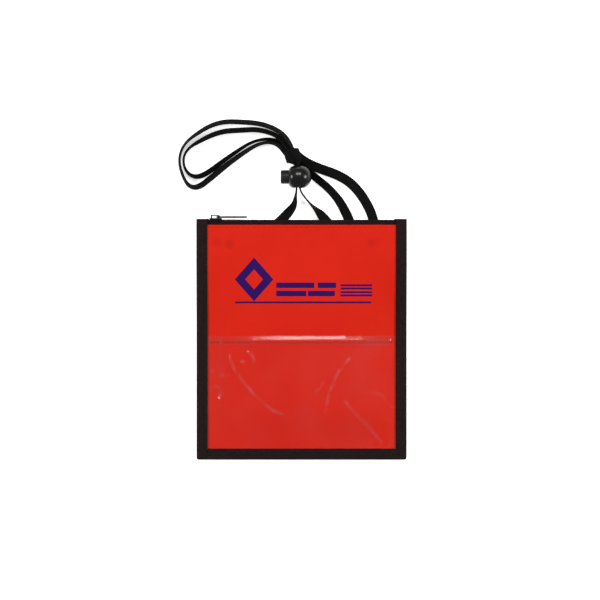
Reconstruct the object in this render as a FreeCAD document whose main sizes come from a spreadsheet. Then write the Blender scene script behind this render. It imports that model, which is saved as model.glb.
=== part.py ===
import FreeCAD, Part
import math
import os
import Sketcher

# A zipped neck wallet that holds a badge: a bound cloth pouch with a clear pocket, a coil zip along its
# top edge, and a neck cord with a ball lock. It lies on its back: +X to the wearer's left hand side of
# the front, +Y towards the zip and the cord, +Z out of the front. The origin is under the pouch's middle.

Vector = FreeCAD.Vector
doc = FreeCAD.newDocument("badge_holder")

# ------------------------------------------------------------------ driving dimensions, in millimetres
DIMENSIONS = (
    ("pouch_width", 133.2, "across both side bindings"),
    ("pouch_height", 152.0, "bottom binding to the top of the zip tapes"),
    ("binding_width", 7.2, "one leg of the folded edge tape"),
    ("binding_ply", 0.5, "thickness of the edge tape"),
    ("corner_round", 2.5, "outer corners at the bottom"),
    ("cloth", 0.35, "thickness of the panels"),
    ("vinyl", 0.25, "thickness of the clear pocket"),
    ("zip_tape", 0.30, "thickness of the zip's tapes"),
    ("layer_gap", 0.04, "between neighbouring layers in a seam"),
    ("vinyl_gap", 0.10, "between the front panel and the clear pocket at its edges"),
    ("seam_gap", 0.74, "between the two panels inside the bottom seam"),
    ("panel_lift", 2.60, "height of the back panel over the cord that lies under it"),
    ("panel_top", 71.2, "top edge of both panels, below which the zip tapes are sewn on"),
    ("zip_height", 5.35, "height of the zip's centre line"),
    ("coil_half", 1.90, "width of one coil"),
    ("coil_deep", 1.85, "thickness of the coils"),
    ("coil_top", 74.40, "outer face of the coils and edge of the tapes"),
    ("slider_long", 8.0, "slider body along the zip"),
    ("slider_half", 3.10, "half the slider's width across the zip"),
    ("slider_plate", 0.80, "thickness of the slider's two plates"),
    ("slider_start", -54.4, "middle of the slider with the zip closed"),
    ("flange_thick", 0.55, "slider side walls"),
    ("flange_drop", 1.20, "how far the side walls reach down"),
    ("lug_long", 5.8, "loop on the slider that carries the pull"),
    ("lug_rise", 2.10, "loop above the slider's top plate"),
    ("lug_thick", 1.20, "loop across the zip"),
    ("lug_wall", 0.90, "thickness of the loop itself"),
    ("pull_long", 19.0, "pivot to the tip of the pull"),
    ("pull_wide", 5.2, "width of the pull"),
    ("pull_thick", 1.0, "thickness of the pull"),
    ("pull_window", 4.6, "pivot to the end of the window round the loop"),
    ("pull_gap", 2.2, "width of that window"),
    ("pull_round", 1.2, "corners at the pull's tip"),
    ("pull_pivot", -53.4, "pivot of the pull along the zip"),
    ("stop_long", 1.4, "end stops along the zip"),
    ("ball_across", 14.8, "diameter of the cord lock"),
    ("ball_tall", 14.0, "cord lock between its two cord faces"),
    ("ball_along", -1.1, "centre of the cord lock along X"),
    ("ball_above", 101.4, "centre of the cord lock along Y"),
    ("ball_height", 7.45, "centre of the cord lock above the floor"),
    ("button_across", 8.7, "diameter of the lock's button"),
    ("button_slack", 0.10, "radial clearance of the button in its bore"),
    ("button_out", 12.1, "outer end of the button from the ball's centre"),
    ("button_in", 1.2, "inner end of the button from the ball's centre"),
    ("button_travel", 2.5, "press of the button"),
    ("button_edge", 0.6, "chamfer on the button's end"),
    ("bore_deep", 5.2, "blind end of the button's bore from the ball's centre"),
    ("collar_across", 10.6, "ring round the mouth of the bore"),
    ("collar_out", 6.9, "outer face of that ring from the ball's centre"),
    ("slot_offset", 1.3, "cord slot's middle, left of the ball's centre"),
    ("slot_wide", 3.0, "cord slot along X"),
    ("slot_tall", 6.6, "cord slot along Z"),
    ("spring_across", 5.0, "mean diameter of the spring"),
    ("spring_wire", 0.35, "wire of the spring"),
    ("spring_turns", 3.5, "turns of the spring"),
    ("cord_core", 2.0, "round tube that stands for the flat cord, of about its weight"),
    ("tack_wide", 7.0, "bar tack along X"),
    ("tack_deep", 5.0, "bar tack along Y"),
    ("tack_along", 45.5, "bar tack from the middle"),
    ("tack_above", 58.5, "bar tack from the middle"),
    ("stitch_pitch", 3.3, "from one stitch to the next"),
    ("stitch_long", 2.3, "length of one stitch"),
    ("stitch_thick", 0.40, "thickness of the thread"),
    ("pocket_top", 1.1, "upper edge of the clear pocket"),
    ("pocket_hem", 4.1, "from that edge down to its row of stitches"),
    ("pocket_room", 0.8, "room for a card behind the clear pocket"),
)

sheet = doc.addObject("Spreadsheet::Sheet", "Sheet")
for row, (alias, value, note) in enumerate(DIMENSIONS, start=1):
    sheet.set(f"A{row}", note)
    sheet.set(f"B{row}", str(value))
    sheet.setAlias(f"B{row}", alias)
doc.recompute()


def cell(alias):
    """The number that a cell of the sheet holds."""
    return float(sheet.get(alias))


# ------------------------------------------------------------------ places that follow from them
HALF_WIDE = cell("pouch_width") / 2
PROUD = cell("slider_plate") + cell("lug_rise") + 0.1  # zip furniture above the top edge
BOTTOM = -(cell("pouch_height") + PROUD) / 2
TOP = BOTTOM + cell("pouch_height")
INNER_X = HALF_WIDE - cell("binding_width")
INNER_Y = BOTTOM + cell("binding_width")
ZIP_Z = cell("zip_height")
CORD_R = cell("cord_core") / 2
FLOOR_Z = CORD_R + 0.03  # height of a cord that lies on the floor

parts = []


def keep(obj, label):
    """Names a sub-part and puts it on the list of files to write."""
    obj.Label = label
    parts.append(obj)
    return obj


# ------------------------------------------------------------------ sketches and features
def origin_plane(body, role):
    for feature in body.Origin.OriginFeatures:
        if feature.Role == role:
            return feature
    raise ValueError(role)


def new_body(label, base=("0", "0", "0")):
    """A body whose placement is bound to the sheet."""
    body = doc.addObject("PartDesign::Body", label + "_body")
    for axis, expression in zip("xyz", base):
        body.setExpression(".Placement.Base." + axis, expression)
    return keep(body, label)


def new_sketch(body, name, role, lift):
    sketch = body.newObject("Sketcher::SketchObject", name)
    sketch.AttachmentSupport = (origin_plane(body, role), [""])
    sketch.MapMode = "FlatFace"
    sketch.setExpression(".AttachmentOffset.Base.z", lift)
    return sketch


def drive(sketch, name, constraint, expression):
    """Adds a dimension to a sketch and binds it to the sheet."""
    index = sketch.addConstraint(constraint)
    sketch.renameConstraint(index, name)
    sketch.setExpression("Constraints." + name, expression)


def rectangle(body, name, role, left, low, wide, tall, lift="0"):
    """A sketch of one rectangle, its corner, sizes and plane bound to expressions."""
    sketch = new_sketch(body, name, role, lift)
    x, y, w, t = (sheet.evalExpression(e) for e in (left, low, wide, tall))
    x, y, w, t = (float(value) for value in (x, y, w, t))
    corners = [Vector(x, y), Vector(x + w, y), Vector(x + w, y + t), Vector(x, y + t)]
    for i in range(4):
        sketch.addGeometry(Part.LineSegment(corners[i], corners[(i + 1) % 4]), False)
    for i in range(4):
        sketch.addConstraint(Sketcher.Constraint("Coincident", i, 2, (i + 1) % 4, 1))
    for kind, i in (("Horizontal", 0), ("Vertical", 1), ("Horizontal", 2), ("Vertical", 3)):
        sketch.addConstraint(Sketcher.Constraint(kind, i))
    drive(sketch, "left", Sketcher.Constraint("DistanceX", -1, 1, 0, 1, x), left)
    drive(sketch, "low", Sketcher.Constraint("DistanceY", -1, 1, 0, 1, y), low)
    drive(sketch, "wide", Sketcher.Constraint("DistanceX", 0, 1, 0, 2, w), wide)
    drive(sketch, "tall", Sketcher.Constraint("DistanceY", 1, 1, 1, 2, t), tall)
    return sketch


def circle(body, name, role, radius, lift="0"):
    """A sketch of one circle round the plane's origin."""
    sketch = new_sketch(body, name, role, lift)
    start = float(sheet.evalExpression(radius))
    sketch.addGeometry(Part.Circle(Vector(0, 0, 0), Vector(0, 0, 1), start), False)
    sketch.addConstraint(Sketcher.Constraint("Coincident", 0, 3, -1, 1))
    drive(sketch, "radius", Sketcher.Constraint("Radius", 0, start), radius)
    return sketch


def pad(body, sketch, name, length, midplane=False, reverse=False):
    feature = body.newObject("PartDesign::Pad", name)
    feature.Profile = sketch
    feature.Midplane = midplane
    feature.Reversed = reverse
    feature.setExpression("Length", length)
    doc.recompute()
    return feature


def pocket(body, sketch, name, length, midplane=False, reverse=False):
    """A cut that has to take material away."""
    before = body.Shape.Volume
    feature = body.newObject("PartDesign::Pocket", name)
    feature.Profile = sketch
    feature.Midplane = midplane
    feature.Reversed = reverse
    feature.setExpression("Length", length)
    doc.recompute()
    if body.Shape.Volume > before - 0.01:
        raise RuntimeError(name + " cuts nothing")
    return feature


SAME = 1e-5  # lengths below this are nothing


def dress(body, kind, name, edge_numbers, size_name, expression):
    """A fillet or chamfer on edges of the body's present tip."""
    if not edge_numbers:
        raise RuntimeError(name + " has no edges")
    base = body.Tip
    feature = body.newObject(kind, name)
    feature.Base = (base, [f"Edge{i}" for i in edge_numbers])
    feature.setExpression(size_name, expression)
    doc.recompute()
    return feature


# ------------------------------------------------------------------ the shape of the soft pouch
def smooth(start, end, value):
    """0 before start, 1 after end, and an S curve between them."""
    t = min(1.0, max(0.0, (value - start) / (end - start)))
    return t * t * (3 - 2 * t)


THICKENS_FROM, THICKENS_TO = 0.0, 56.0  # the side seams grow as thick as the zip over this stretch
BACK_FLAT_X, FRONT_FLAT_X, POCKET_FLAT_X = 44.0, 15.0, 36.0  # half widths of the flat middles
BACK_RISE_Y, POCKET_RISE_Y = 25.0, 30.0  # how soon the sheets come up from the bottom seam
CLOTH, VINYL, GAP = cell("cloth"), cell("vinyl"), cell("layer_gap")
SEAM_LOW = cell("binding_ply")  # floor of the slot inside the binding


def mix(low, high, share):
    return low + (high - low) * share


def thick(y):
    return smooth(THICKENS_FROM, THICKENS_TO, y)


def back_under(x, y):
    """Underside of the back panel."""
    edge = mix(SEAM_LOW + GAP, cell("panel_lift"), thick(y))
    share = (1 - smooth(BACK_FLAT_X, INNER_X, abs(x))) * smooth(INNER_Y, INNER_Y + BACK_RISE_Y, y)
    return mix(edge, cell("panel_lift"), share)


def front_under(x, y):
    """Underside of the front panel: the back panel's top and the room between the two."""
    zip_room = 2 * (ZIP_Z - cell("panel_lift") - CLOTH)
    edge = mix(cell("seam_gap"), zip_room, thick(y))
    belly = math.sin(math.pi / 2 * min(1.0, max(0.0, (y - INNER_Y) / (THICKENS_TO - INNER_Y)))) ** 2
    middle = mix(cell("seam_gap"), zip_room, belly)
    share = 1 - smooth(FRONT_FLAT_X, INNER_X, abs(x))
    return back_under(x, y) + CLOTH + mix(edge, middle, share)


def pocket_under(x, y):
    """Underside of the clear pocket over the front panel."""
    share = (1 - smooth(POCKET_FLAT_X, INNER_X, abs(x))) * smooth(INNER_Y, INNER_Y + POCKET_RISE_Y, y)
    return front_under(x, y) + CLOTH + cell("vinyl_gap") + cell("pocket_room") * share


def bowed_sheet(label, half_wide, low, high, height, thickness, steps=(61, 46)):
    """A sheet over x = -half_wide..half_wide and y = low..high whose underside is height(x, y)."""
    across, along = steps
    rows = []
    for i in range(across):
        x = mix(-half_wide, half_wide, i / (across - 1))
        line = []
        for j in range(along):
            y = mix(low, high, j / (along - 1))
            line.append(Vector(x, y, height(x, y)))
        rows.append(line)
    surface = Part.BSplineSurface()
    surface.interpolate(rows)
    solid = surface.toShape().extrude(Vector(0, 0, thickness))
    feature = doc.addObject("Part::Feature", label + "_sheet")
    feature.Shape = solid
    return keep(feature, label)


SLOT_EDGE_X = HALF_WIDE - cell("binding_ply") - 0.3
SLOT_EDGE_Y = BOTTOM + cell("binding_ply") + 0.3
PANEL_TOP = cell("panel_top")
TAPE_LOW = 59.0  # lower edge of the zip tapes, inside the pouch

bowed_sheet("back_panel", SLOT_EDGE_X, SLOT_EDGE_Y, PANEL_TOP, back_under, CLOTH)
bowed_sheet("front_panel", SLOT_EDGE_X, SLOT_EDGE_Y, PANEL_TOP, front_under, CLOTH)
bowed_sheet("clear_pocket", SLOT_EDGE_X, SLOT_EDGE_Y, cell("pocket_top"), pocket_under, VINYL)


# ------------------------------------------------------------------ edge binding
def seam_top(y):
    """Upper face of the slot inside the side bindings."""
    return front_under(INNER_X, y) + CLOTH + GAP + mix(VINYL + cell("vinyl_gap"), 0, thick(y))


def rising_edge(x, level, end):
    """Edges along a side seam: flat on the floor, the S curve of thick(y), and flat again to the end."""
    low, high = level(BOTTOM), level(THICKENS_TO)
    third = (THICKENS_TO - THICKENS_FROM) / 3
    curve = Part.BezierCurve()
    curve.setPoles([Vector(x, THICKENS_FROM, low), Vector(x, THICKENS_FROM + third, low),
                    Vector(x, THICKENS_TO - third, high), Vector(x, THICKENS_TO, high)])
    return [
        Part.LineSegment(Vector(x, BOTTOM, low), Vector(x, THICKENS_FROM, low)).toShape(),
        curve.toShape(),
        Part.LineSegment(Vector(x, THICKENS_TO, high), Vector(x, end, high)).toShape(),
    ]


def side_strip(x, wide, low_at, high_at, end):
    """A strip along a side seam, from the bottom edge to end, between two functions of y."""
    edges = rising_edge(x, low_at, end) + rising_edge(x, high_at, end)
    for y in (BOTTOM, end):
        edges.append(Part.LineSegment(Vector(x, y, low_at(y)), Vector(x, y, high_at(y))).toShape())
    face = Part.Face(Part.Wire(Part.__sortEdges__(edges)))
    return face.extrude(Vector(wide, 0, 0))


def build_binding():
    ply = cell("binding_ply")
    wide = cell("binding_width")
    pouch_wide = cell("pouch_width")

    def slot_low(y):
        return mix(SEAM_LOW, cell("panel_lift") - GAP, thick(y))

    def outer_low(y):
        return slot_low(y) - ply

    def outer_high(y):
        return seam_top(y) + ply

    left_end, right_end = TOP - 0.6, TOP + 0.5
    left = side_strip(-HALF_WIDE, wide, outer_low, outer_high, left_end)
    right = side_strip(INNER_X, wide, outer_low, outer_high, right_end)
    bottom = Part.makeBox(2 * INNER_X, wide, outer_high(BOTTOM), Vector(-INNER_X, BOTTOM, 0))
    slot_wide = wide - ply
    slot_start = BOTTOM + ply
    below = Part.makeBox(pouch_wide, slot_start + 200, 40, Vector(-HALF_WIDE, -200, -10))
    left_slot = side_strip(-HALF_WIDE + ply, slot_wide, slot_low, seam_top, left_end + 1).cut(below)
    right_slot = side_strip(INNER_X, slot_wide, slot_low, seam_top, right_end + 1).cut(below)
    bottom_slot = Part.makeBox(2 * INNER_X, slot_wide, seam_top(BOTTOM) - SEAM_LOW,
                               Vector(-INNER_X, slot_start, SEAM_LOW))
    solid = left.fuse([bottom, right]).cut([left_slot, right_slot, bottom_slot]).removeSplitter()
    corners = [edge for edge in solid.Edges
               if edge.BoundBox.XLength < SAME and edge.BoundBox.YLength < SAME
               and abs(edge.BoundBox.YMin - BOTTOM) < SAME
               and abs(abs(edge.BoundBox.XMin) - HALF_WIDE) < SAME]
    solid = solid.makeFillet(cell("corner_round"), corners)
    feature = doc.addObject("Part::Feature", "edge_binding_tape")
    feature.Shape = solid
    return keep(feature, "edge_binding")


build_binding()


# ------------------------------------------------------------------ stitching
CLEAR = 0.06  # thread above the face that it lies on
THREAD_FLAT = 0.7  # height of a stitch, as a share of its thread's thickness
HALF_STITCH = cell("stitch_long") / 2 + 0.05
SEAM_IN = 1.8  # row of stitches in from the edge of the binding
ROW_END = 2.5  # first and last stitch of a row between the bindings, in from them
CORD_CROSSINGS = (-17.0, 17.0, 31.0, 46.0)  # where the cord lies under the panel's top edge


def stitch_row(label, places):
    """Stitches as short bars. Each place is (x, y, z of the underside, True where it runs along X)."""
    long_side, thread = cell("stitch_long"), cell("stitch_thick")
    bars = []
    for x, y, z, along_x in places:
        size_x, size_y = (long_side, thread) if along_x else (thread, long_side)
        corner = Vector(x - size_x / 2, y - size_y / 2, z)
        bars.append(Part.makeBox(size_x, size_y, thread * THREAD_FLAT, corner))
    feature = doc.addObject("Part::Feature", label + "_row")
    feature.Shape = Part.makeCompound(bars)
    return keep(feature, label)


def spaced(low, high):
    """Evenly spaced places a stitch apart."""
    count = int((high - low) / cell("stitch_pitch")) + 1
    return [mix(low, high, i / (count - 1)) for i in range(count)]


ROW_X = INNER_X + SEAM_IN
ROW_Y = INNER_Y - SEAM_IN
binding_top = [(x, ROW_Y, seam_top(BOTTOM) + cell("binding_ply") + CLEAR, True)
               for x in spaced(-ROW_X + 4, ROW_X - 4)]
for side in (-1, 1):
    for y in spaced(ROW_Y + 2, TOP - 4):
        highest = max(seam_top(y - HALF_STITCH), seam_top(y + HALF_STITCH))
        binding_top.append((side * ROW_X, y, highest + cell("binding_ply") + CLEAR, False))
stitch_row("binding_stitching", binding_top)

HEM_Y = cell("pocket_top") - cell("pocket_hem")
stitch_row("pocket_hem_stitching",
           [(x, HEM_Y, pocket_under(max(abs(x) - HALF_STITCH, 0), HEM_Y) + VINYL + CLEAR, True)
            for x in spaced(-INNER_X + ROW_END, INNER_X - ROW_END)])

PANEL_ROW = PANEL_TOP - 1.6
PANEL_STITCHES = spaced(-INNER_X + ROW_END, INNER_X - ROW_END)
stitch_row("front_panel_stitching",
           [(x, PANEL_ROW, front_under(0, PANEL_ROW) + CLOTH + CLEAR, True) for x in PANEL_STITCHES])
stitch_row("back_panel_stitching",
           [(x, PANEL_ROW, cell("panel_lift") - CLEAR - cell("stitch_thick") * THREAD_FLAT, True)
            for x in PANEL_STITCHES if min(abs(x - place) for place in CORD_CROSSINGS) > 4])


# ------------------------------------------------------------------ zip
TAPE_GAP = 0.1  # between a tape and the panel that it is sewn to
TAPE_OUT = ZIP_Z - cell("panel_lift") - CLOTH - TAPE_GAP  # outer face of a tape from the centre line
TAPE_IN = TAPE_OUT - cell("zip_tape")


def strip(label, along, half_long, low, high, z_low, z_high):
    """A straight strip along the zip, as a box bound to numbers worked out above."""
    box = doc.addObject("Part::Box", label + "_strip")
    box.Length = 2 * half_long
    box.Width = high - low
    box.Height = z_high - z_low
    box.Placement = FreeCAD.Placement(Vector(along - half_long, low, z_low), FreeCAD.Rotation())
    return keep(box, label)


TAPE_HALF = SLOT_EDGE_X
COIL_HALF_LONG = INNER_X + 0.6
COIL_LOW = cell("coil_top") - cell("coil_deep")
COIL_GAP = 0.08
PARTED_LONG, PARTED_HALF = 4.8, 0.65  # where the slider's post holds the two rows apart
strip("zipper_tape_front", 0, TAPE_HALF, TAPE_LOW, cell("coil_top"), ZIP_Z + TAPE_IN, ZIP_Z + TAPE_OUT)
strip("zipper_tape_back", 0, TAPE_HALF, TAPE_LOW, cell("coil_top"), ZIP_Z - TAPE_OUT, ZIP_Z - TAPE_IN)


def coil(label, side):
    """One row of the zip, from the centre line out to its tape, with rounded long edges."""
    near, far = COIL_GAP, cell("coil_half") + COIL_GAP
    low = ZIP_Z + (near if side > 0 else -far)
    box = doc.addObject("Part::Box", label + "_bar")
    box.Length = 2 * COIL_HALF_LONG
    box.setExpression("Width", "Sheet.coil_deep")
    box.setExpression("Height", "Sheet.coil_half")
    box.Placement = FreeCAD.Placement(Vector(-COIL_HALF_LONG, COIL_LOW, low), FreeCAD.Rotation())
    doc.recompute()
    rounded = doc.addObject("Part::Fillet", label + "_rounded")
    rounded.Base = box
    long_edges = [i for i, edge in enumerate(box.Shape.Edges, start=1) if edge.Length > COIL_HALF_LONG]
    rounded.Edges = [(i, 0.5, 0.5) for i in long_edges]
    parting = doc.addObject("Part::Box", label + "_parting")
    parting.Length = PARTED_LONG
    parting.Width = 2 * cell("coil_deep")
    parting.Height = 2 * PARTED_HALF
    parting.Placement = FreeCAD.Placement(
        Vector(-COIL_HALF_LONG - 0.1, COIL_LOW - 0.5, ZIP_Z - PARTED_HALF), FreeCAD.Rotation())
    row_cut = doc.addObject("Part::Cut", label + "_row")
    row_cut.Base = rounded
    row_cut.Tool = parting
    return keep(row_cut, label)


coil("zipper_coil_front", 1)
coil("zipper_coil_back", -1)

STOP_X = COIL_HALF_LONG - cell("stop_long") / 2
for label, along in (("zipper_end_stop_left", -STOP_X), ("zipper_end_stop_right", STOP_X)):
    strip(label, along, cell("stop_long") / 2, cell("coil_top") + 0.02, cell("coil_top") + 0.62,
          ZIP_Z - cell("coil_half"), ZIP_Z + cell("coil_half"))

# The slider's own frame: origin at the middle of its top plate's underside, X along the zip.
SLIDER_FLOOR = cell("coil_top") + 0.2  # its top plate clears the coils by this much
slider = new_body("zipper_slider", ("Sheet.slider_start", str(SLIDER_FLOOR), "Sheet.zip_height"))
plate = rectangle(slider, "top_plate_outline", "XZ_Plane", "-Sheet.slider_long / 2", "-Sheet.slider_half",
                  "Sheet.slider_long", "2 * Sheet.slider_half")
pad(slider, plate, "top_plate", "Sheet.slider_plate", reverse=True)
for number, low in enumerate(("Sheet.slider_half - Sheet.flange_thick", "-Sheet.slider_half")):
    wall = rectangle(slider, f"side_wall_outline_{number}", "XZ_Plane", "-Sheet.slider_long / 2 + 0.4", low,
                     "Sheet.slider_long - 0.8", "Sheet.flange_thick", lift="-0.2")
    pad(slider, wall, f"side_wall_{number}", "Sheet.flange_drop + 0.2")
post = rectangle(slider, "post_outline", "XZ_Plane", "-Sheet.slider_long / 2 + 0.6", "-0.5", "2.0", "1.0",
                 lift="-0.2")
pad(slider, post, "post", "Sheet.coil_deep + 0.8")
low_plate = rectangle(slider, "low_plate_outline", "XZ_Plane", "-Sheet.slider_long / 2 + 0.6",
                      "-Sheet.coil_half + 0.05", "Sheet.slider_long - 1.2", "2 * Sheet.coil_half - 0.1",
                      lift="Sheet.coil_deep + 0.45")
pad(slider, low_plate, "low_plate", "Sheet.slider_plate")
lug = rectangle(slider, "lug_outline", "XY_Plane", "-Sheet.lug_long / 2 - 0.2",
                "Sheet.slider_plate - 0.1", "Sheet.lug_long", "Sheet.lug_rise + 0.1")
pad(slider, lug, "lug", "Sheet.lug_thick", midplane=True)
window = rectangle(slider, "lug_window_outline", "XY_Plane", "-Sheet.lug_long / 2 - 0.2 + Sheet.lug_wall",
                   "Sheet.slider_plate", "Sheet.lug_long - 2 * Sheet.lug_wall",
                   "Sheet.lug_rise - 0.65")
pocket(slider, window, "lug_window", "2 * Sheet.lug_thick", midplane=True)

# The pull's own frame: origin on its pivot, X towards its tip.
PULL_Y = SLIDER_FLOOR + cell("slider_plate") + 0.75
pull = new_body("zipper_pull", ("Sheet.pull_pivot", str(PULL_Y), "Sheet.zip_height"))
blade = rectangle(pull, "blade_outline", "XZ_Plane", "-0.45", "-Sheet.pull_wide / 2",
                  "Sheet.pull_long + 0.45", "Sheet.pull_wide")
pad(pull, blade, "blade", "Sheet.pull_thick", midplane=True)
gap_outline = rectangle(pull, "blade_window_outline", "XZ_Plane", "0.45", "-Sheet.pull_gap / 2",
                        "Sheet.pull_window - 0.45", "Sheet.pull_gap")
pocket(pull, gap_outline, "blade_window", "2 * Sheet.pull_thick", midplane=True)
tips = [i for i, edge in enumerate(pull.Shape.Edges, start=1)
        if edge.BoundBox.XLength < SAME and edge.BoundBox.ZLength < SAME
        and edge.BoundBox.XMin > cell("pull_pivot") + cell("pull_long") - 0.01]
dress(pull, "PartDesign::Fillet", "tip_round", tips, "Radius", "Sheet.pull_round")

# ------------------------------------------------------------------ cord lock
LOCK_BASE = ("Sheet.ball_along", "Sheet.ball_above", "Sheet.ball_height")


def along_x_cylinder(name, radius, start, end):
    """A cylinder along X in the lock's own frame, all four given as expressions."""
    cylinder = doc.addObject("Part::Cylinder", name)
    cylinder.setExpression("Radius", radius)
    cylinder.setExpression("Height", f"({end}) - ({start})")
    cylinder.Placement = FreeCAD.Placement(Vector(0, 0, 0), FreeCAD.Rotation(Vector(0, 1, 0), 90))
    cylinder.setExpression(".Placement.Base.x", start)
    return cylinder


def centred_box(name, middle_x, size_x, size_y, size_z):
    """A box centred on the lock's frame, apart from its middle along X."""
    box = doc.addObject("Part::Box", name)
    box.setExpression("Length", size_x)
    box.setExpression("Width", size_y)
    box.setExpression("Height", size_z)
    box.setExpression(".Placement.Base.x", f"({middle_x}) - ({size_x}) / 2")
    box.setExpression(".Placement.Base.y", f"-({size_y}) / 2")
    box.setExpression(".Placement.Base.z", f"-({size_z}) / 2")
    return box


ball = doc.addObject("Part::Sphere", "ball")
ball.setExpression("Radius", "Sheet.ball_across / 2")
faces = centred_box("cord_faces", "0", "2 * Sheet.ball_across", "Sheet.ball_tall", "2 * Sheet.ball_across")
flat_ball = doc.addObject("Part::Common", "flat_ball")
flat_ball.Base = ball
flat_ball.Tool = faces
collar = along_x_cylinder("collar", "Sheet.collar_across / 2", "-Sheet.collar_out", "0")
housing = doc.addObject("Part::Fuse", "housing")
housing.Base = flat_ball
housing.Tool = collar
bore = along_x_cylinder("button_bore", "Sheet.button_across / 2 + Sheet.button_slack", "-Sheet.ball_across",
                        "Sheet.bore_deep")
slot = centred_box("cord_slot", "-Sheet.slot_offset", "Sheet.slot_wide", "2 * Sheet.ball_across",
                   "Sheet.slot_tall")
openings = doc.addObject("Part::Fuse", "lock_openings")
openings.Base = bore
openings.Tool = slot
lock_body = doc.addObject("Part::Cut", "lock_body_cut")
lock_body.Base = housing
lock_body.Tool = openings
for axis, expression in zip("xyz", LOCK_BASE):
    lock_body.setExpression(".Placement.Base." + axis, expression)
keep(lock_body, "cord_lock_body")

# The button's hole reaches a travel further out than the body's slot, so that the cord passes straight
# through both when it is pressed, and the hole's inner edge grips the cord when it is let go.
button = new_body("cord_lock_plunger", LOCK_BASE)
rod = circle(button, "rod_outline", "YZ_Plane", "Sheet.button_across / 2", lift="-Sheet.button_out")
pad(button, rod, "rod", "Sheet.button_out + Sheet.button_in")
hole = rectangle(button, "cord_hole_outline", "XZ_Plane",
                 "-Sheet.slot_offset - Sheet.slot_wide / 2 - Sheet.button_travel", "-Sheet.slot_tall / 2",
                 "Sheet.slot_wide + Sheet.button_travel", "Sheet.slot_tall")
pocket(button, hole, "cord_hole", "2 * Sheet.button_across", midplane=True)
rims = [i for i, edge in enumerate(button.Shape.Edges, start=1)
        if edge.BoundBox.XMax < cell("ball_along") - cell("button_out") + 0.01]
dress(button, "PartDesign::Chamfer", "button_rim", rims, "Size", "Sheet.button_edge")

# The spring is wound about its own Z axis, then laid along X between the button's inner end and the
# blind end of the bore.
SPRING_SLACK = 0.08
spring = new_body("cord_lock_spring", (
    f"Sheet.ball_along + Sheet.button_in + Sheet.spring_wire / 2 + {SPRING_SLACK}", *LOCK_BASE[1:]))
spring.Placement.Rotation = FreeCAD.Rotation(Vector(0, 1, 0), 90)
spring_room = "(Sheet.bore_deep - Sheet.button_in - Sheet.spring_wire)"
wire_ring = new_sketch(spring, "wire_section", "XZ_Plane", "0")
wire_ring.addGeometry(Part.Circle(Vector(cell("spring_across") / 2, 0), Vector(0, 0, 1),
                                  cell("spring_wire") / 2), False)
wire_ring.addConstraint(Sketcher.Constraint("PointOnObject", 0, 3, -1))
drive(wire_ring, "reach", Sketcher.Constraint("DistanceX", -1, 1, 0, 3, cell("spring_across") / 2),
      "Sheet.spring_across / 2")
drive(wire_ring, "wire", Sketcher.Constraint("Radius", 0, cell("spring_wire") / 2), "Sheet.spring_wire / 2")
winding = spring.newObject("PartDesign::AdditiveHelix", "winding")
winding.Profile = wire_ring
winding.ReferenceAxis = (wire_ring, ["V_Axis"])
winding.Mode = "height-turns-angle"
winding.setExpression("Height", f"{spring_room} - {2 * SPRING_SLACK}")
winding.setExpression("Turns", "Sheet.spring_turns")
doc.recompute()

# ------------------------------------------------------------------ neck cord
SLOT_X = cell("ball_along") - cell("slot_offset")
STRAND_LOW, STRAND_HIGH = cell("ball_height") - 1.6, cell("ball_height") + 1.6
JOIN_Y = 97.4  # inside the lock, where the stretches that follow it meet the others
F = FLOOR_Z

# One flat cord, in four stretches: from the left tack to the lock, round the outer loop to a join under
# the pouch, from there round the hidden turn to the lock again, and round the inner loop to the right tack.
LEFT_LEG = [
    (-42.4, 58.6, F), (-35.5, 59.8, F), (-28.0, 63.0, F), (-20.6, 67.8, F), (-13.8, 73.4, F),
    (-8.6, 79.2, F + 0.1), (-5.6, 84.0, 2.4), (-3.4, 89.0, 4.6), (SLOT_X, 93.4, STRAND_LOW),
    (SLOT_X, JOIN_Y, STRAND_LOW),
]
OUTER_LOOP = [
    (SLOT_X, JOIN_Y, STRAND_LOW), (SLOT_X, 111.0, STRAND_LOW), (-7.4, 122.9, 4.8), (-15.6, 130.4, 2.0),
    (-26.5, 135.0, F), (-39.6, 136.3, F), (-52.6, 136.8, F), (-63.8, 131.4, F), (-73.0, 124.8, F),
    (-77.6, 115.4, F), (-76.6, 105.2, F), (-72.6, 97.2, F), (-65.6, 94.8, F), (-57.4, 100.8, F),
    (-47.4, 108.6, F), (-37.2, 116.2, F), (-27.6, 122.9, F), (-18.6, 124.4, F), (-11.8, 119.8, F),
    (-4.4, 112.2, F), (4.6, 104.6, F), (13.4, 97.8, F), (21.4, 89.8, F), (26.6, 81.4, F),
    (31.2, 72.4, F), (33.6, 62.6, F),
]
RIGHT_LEG = [
    (33.6, 62.6, F), (36.4, 51.2, F), (35.4, 36.4, F), (36.8, 19.6, F), (35.2, 2.0, F), (36.6, -13.6, F),
    (35.6, -25.0, F), (36.0, -35.3, F), (30.8, -40.6, F), (23.4, -40.8, F), (18.2, -35.5, F),
    (18.0, -26.0, F), (19.0, -12.0, F), (18.2, 3.4, F), (19.6, 19.8, F), (19.8, 36.0, F), (18.8, 50.4, F),
    (21.0, 62.4, F), (18.6, 70.8, F), (13.4, 76.4, F), (9.0, 80.8, 1.6), (5.6, 84.2, 3.2), (2.2, 87.0, 5.7),
    (-0.9, 90.0, 8.0), (SLOT_X, 93.5, STRAND_HIGH), (SLOT_X, JOIN_Y, STRAND_HIGH),
]
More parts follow.
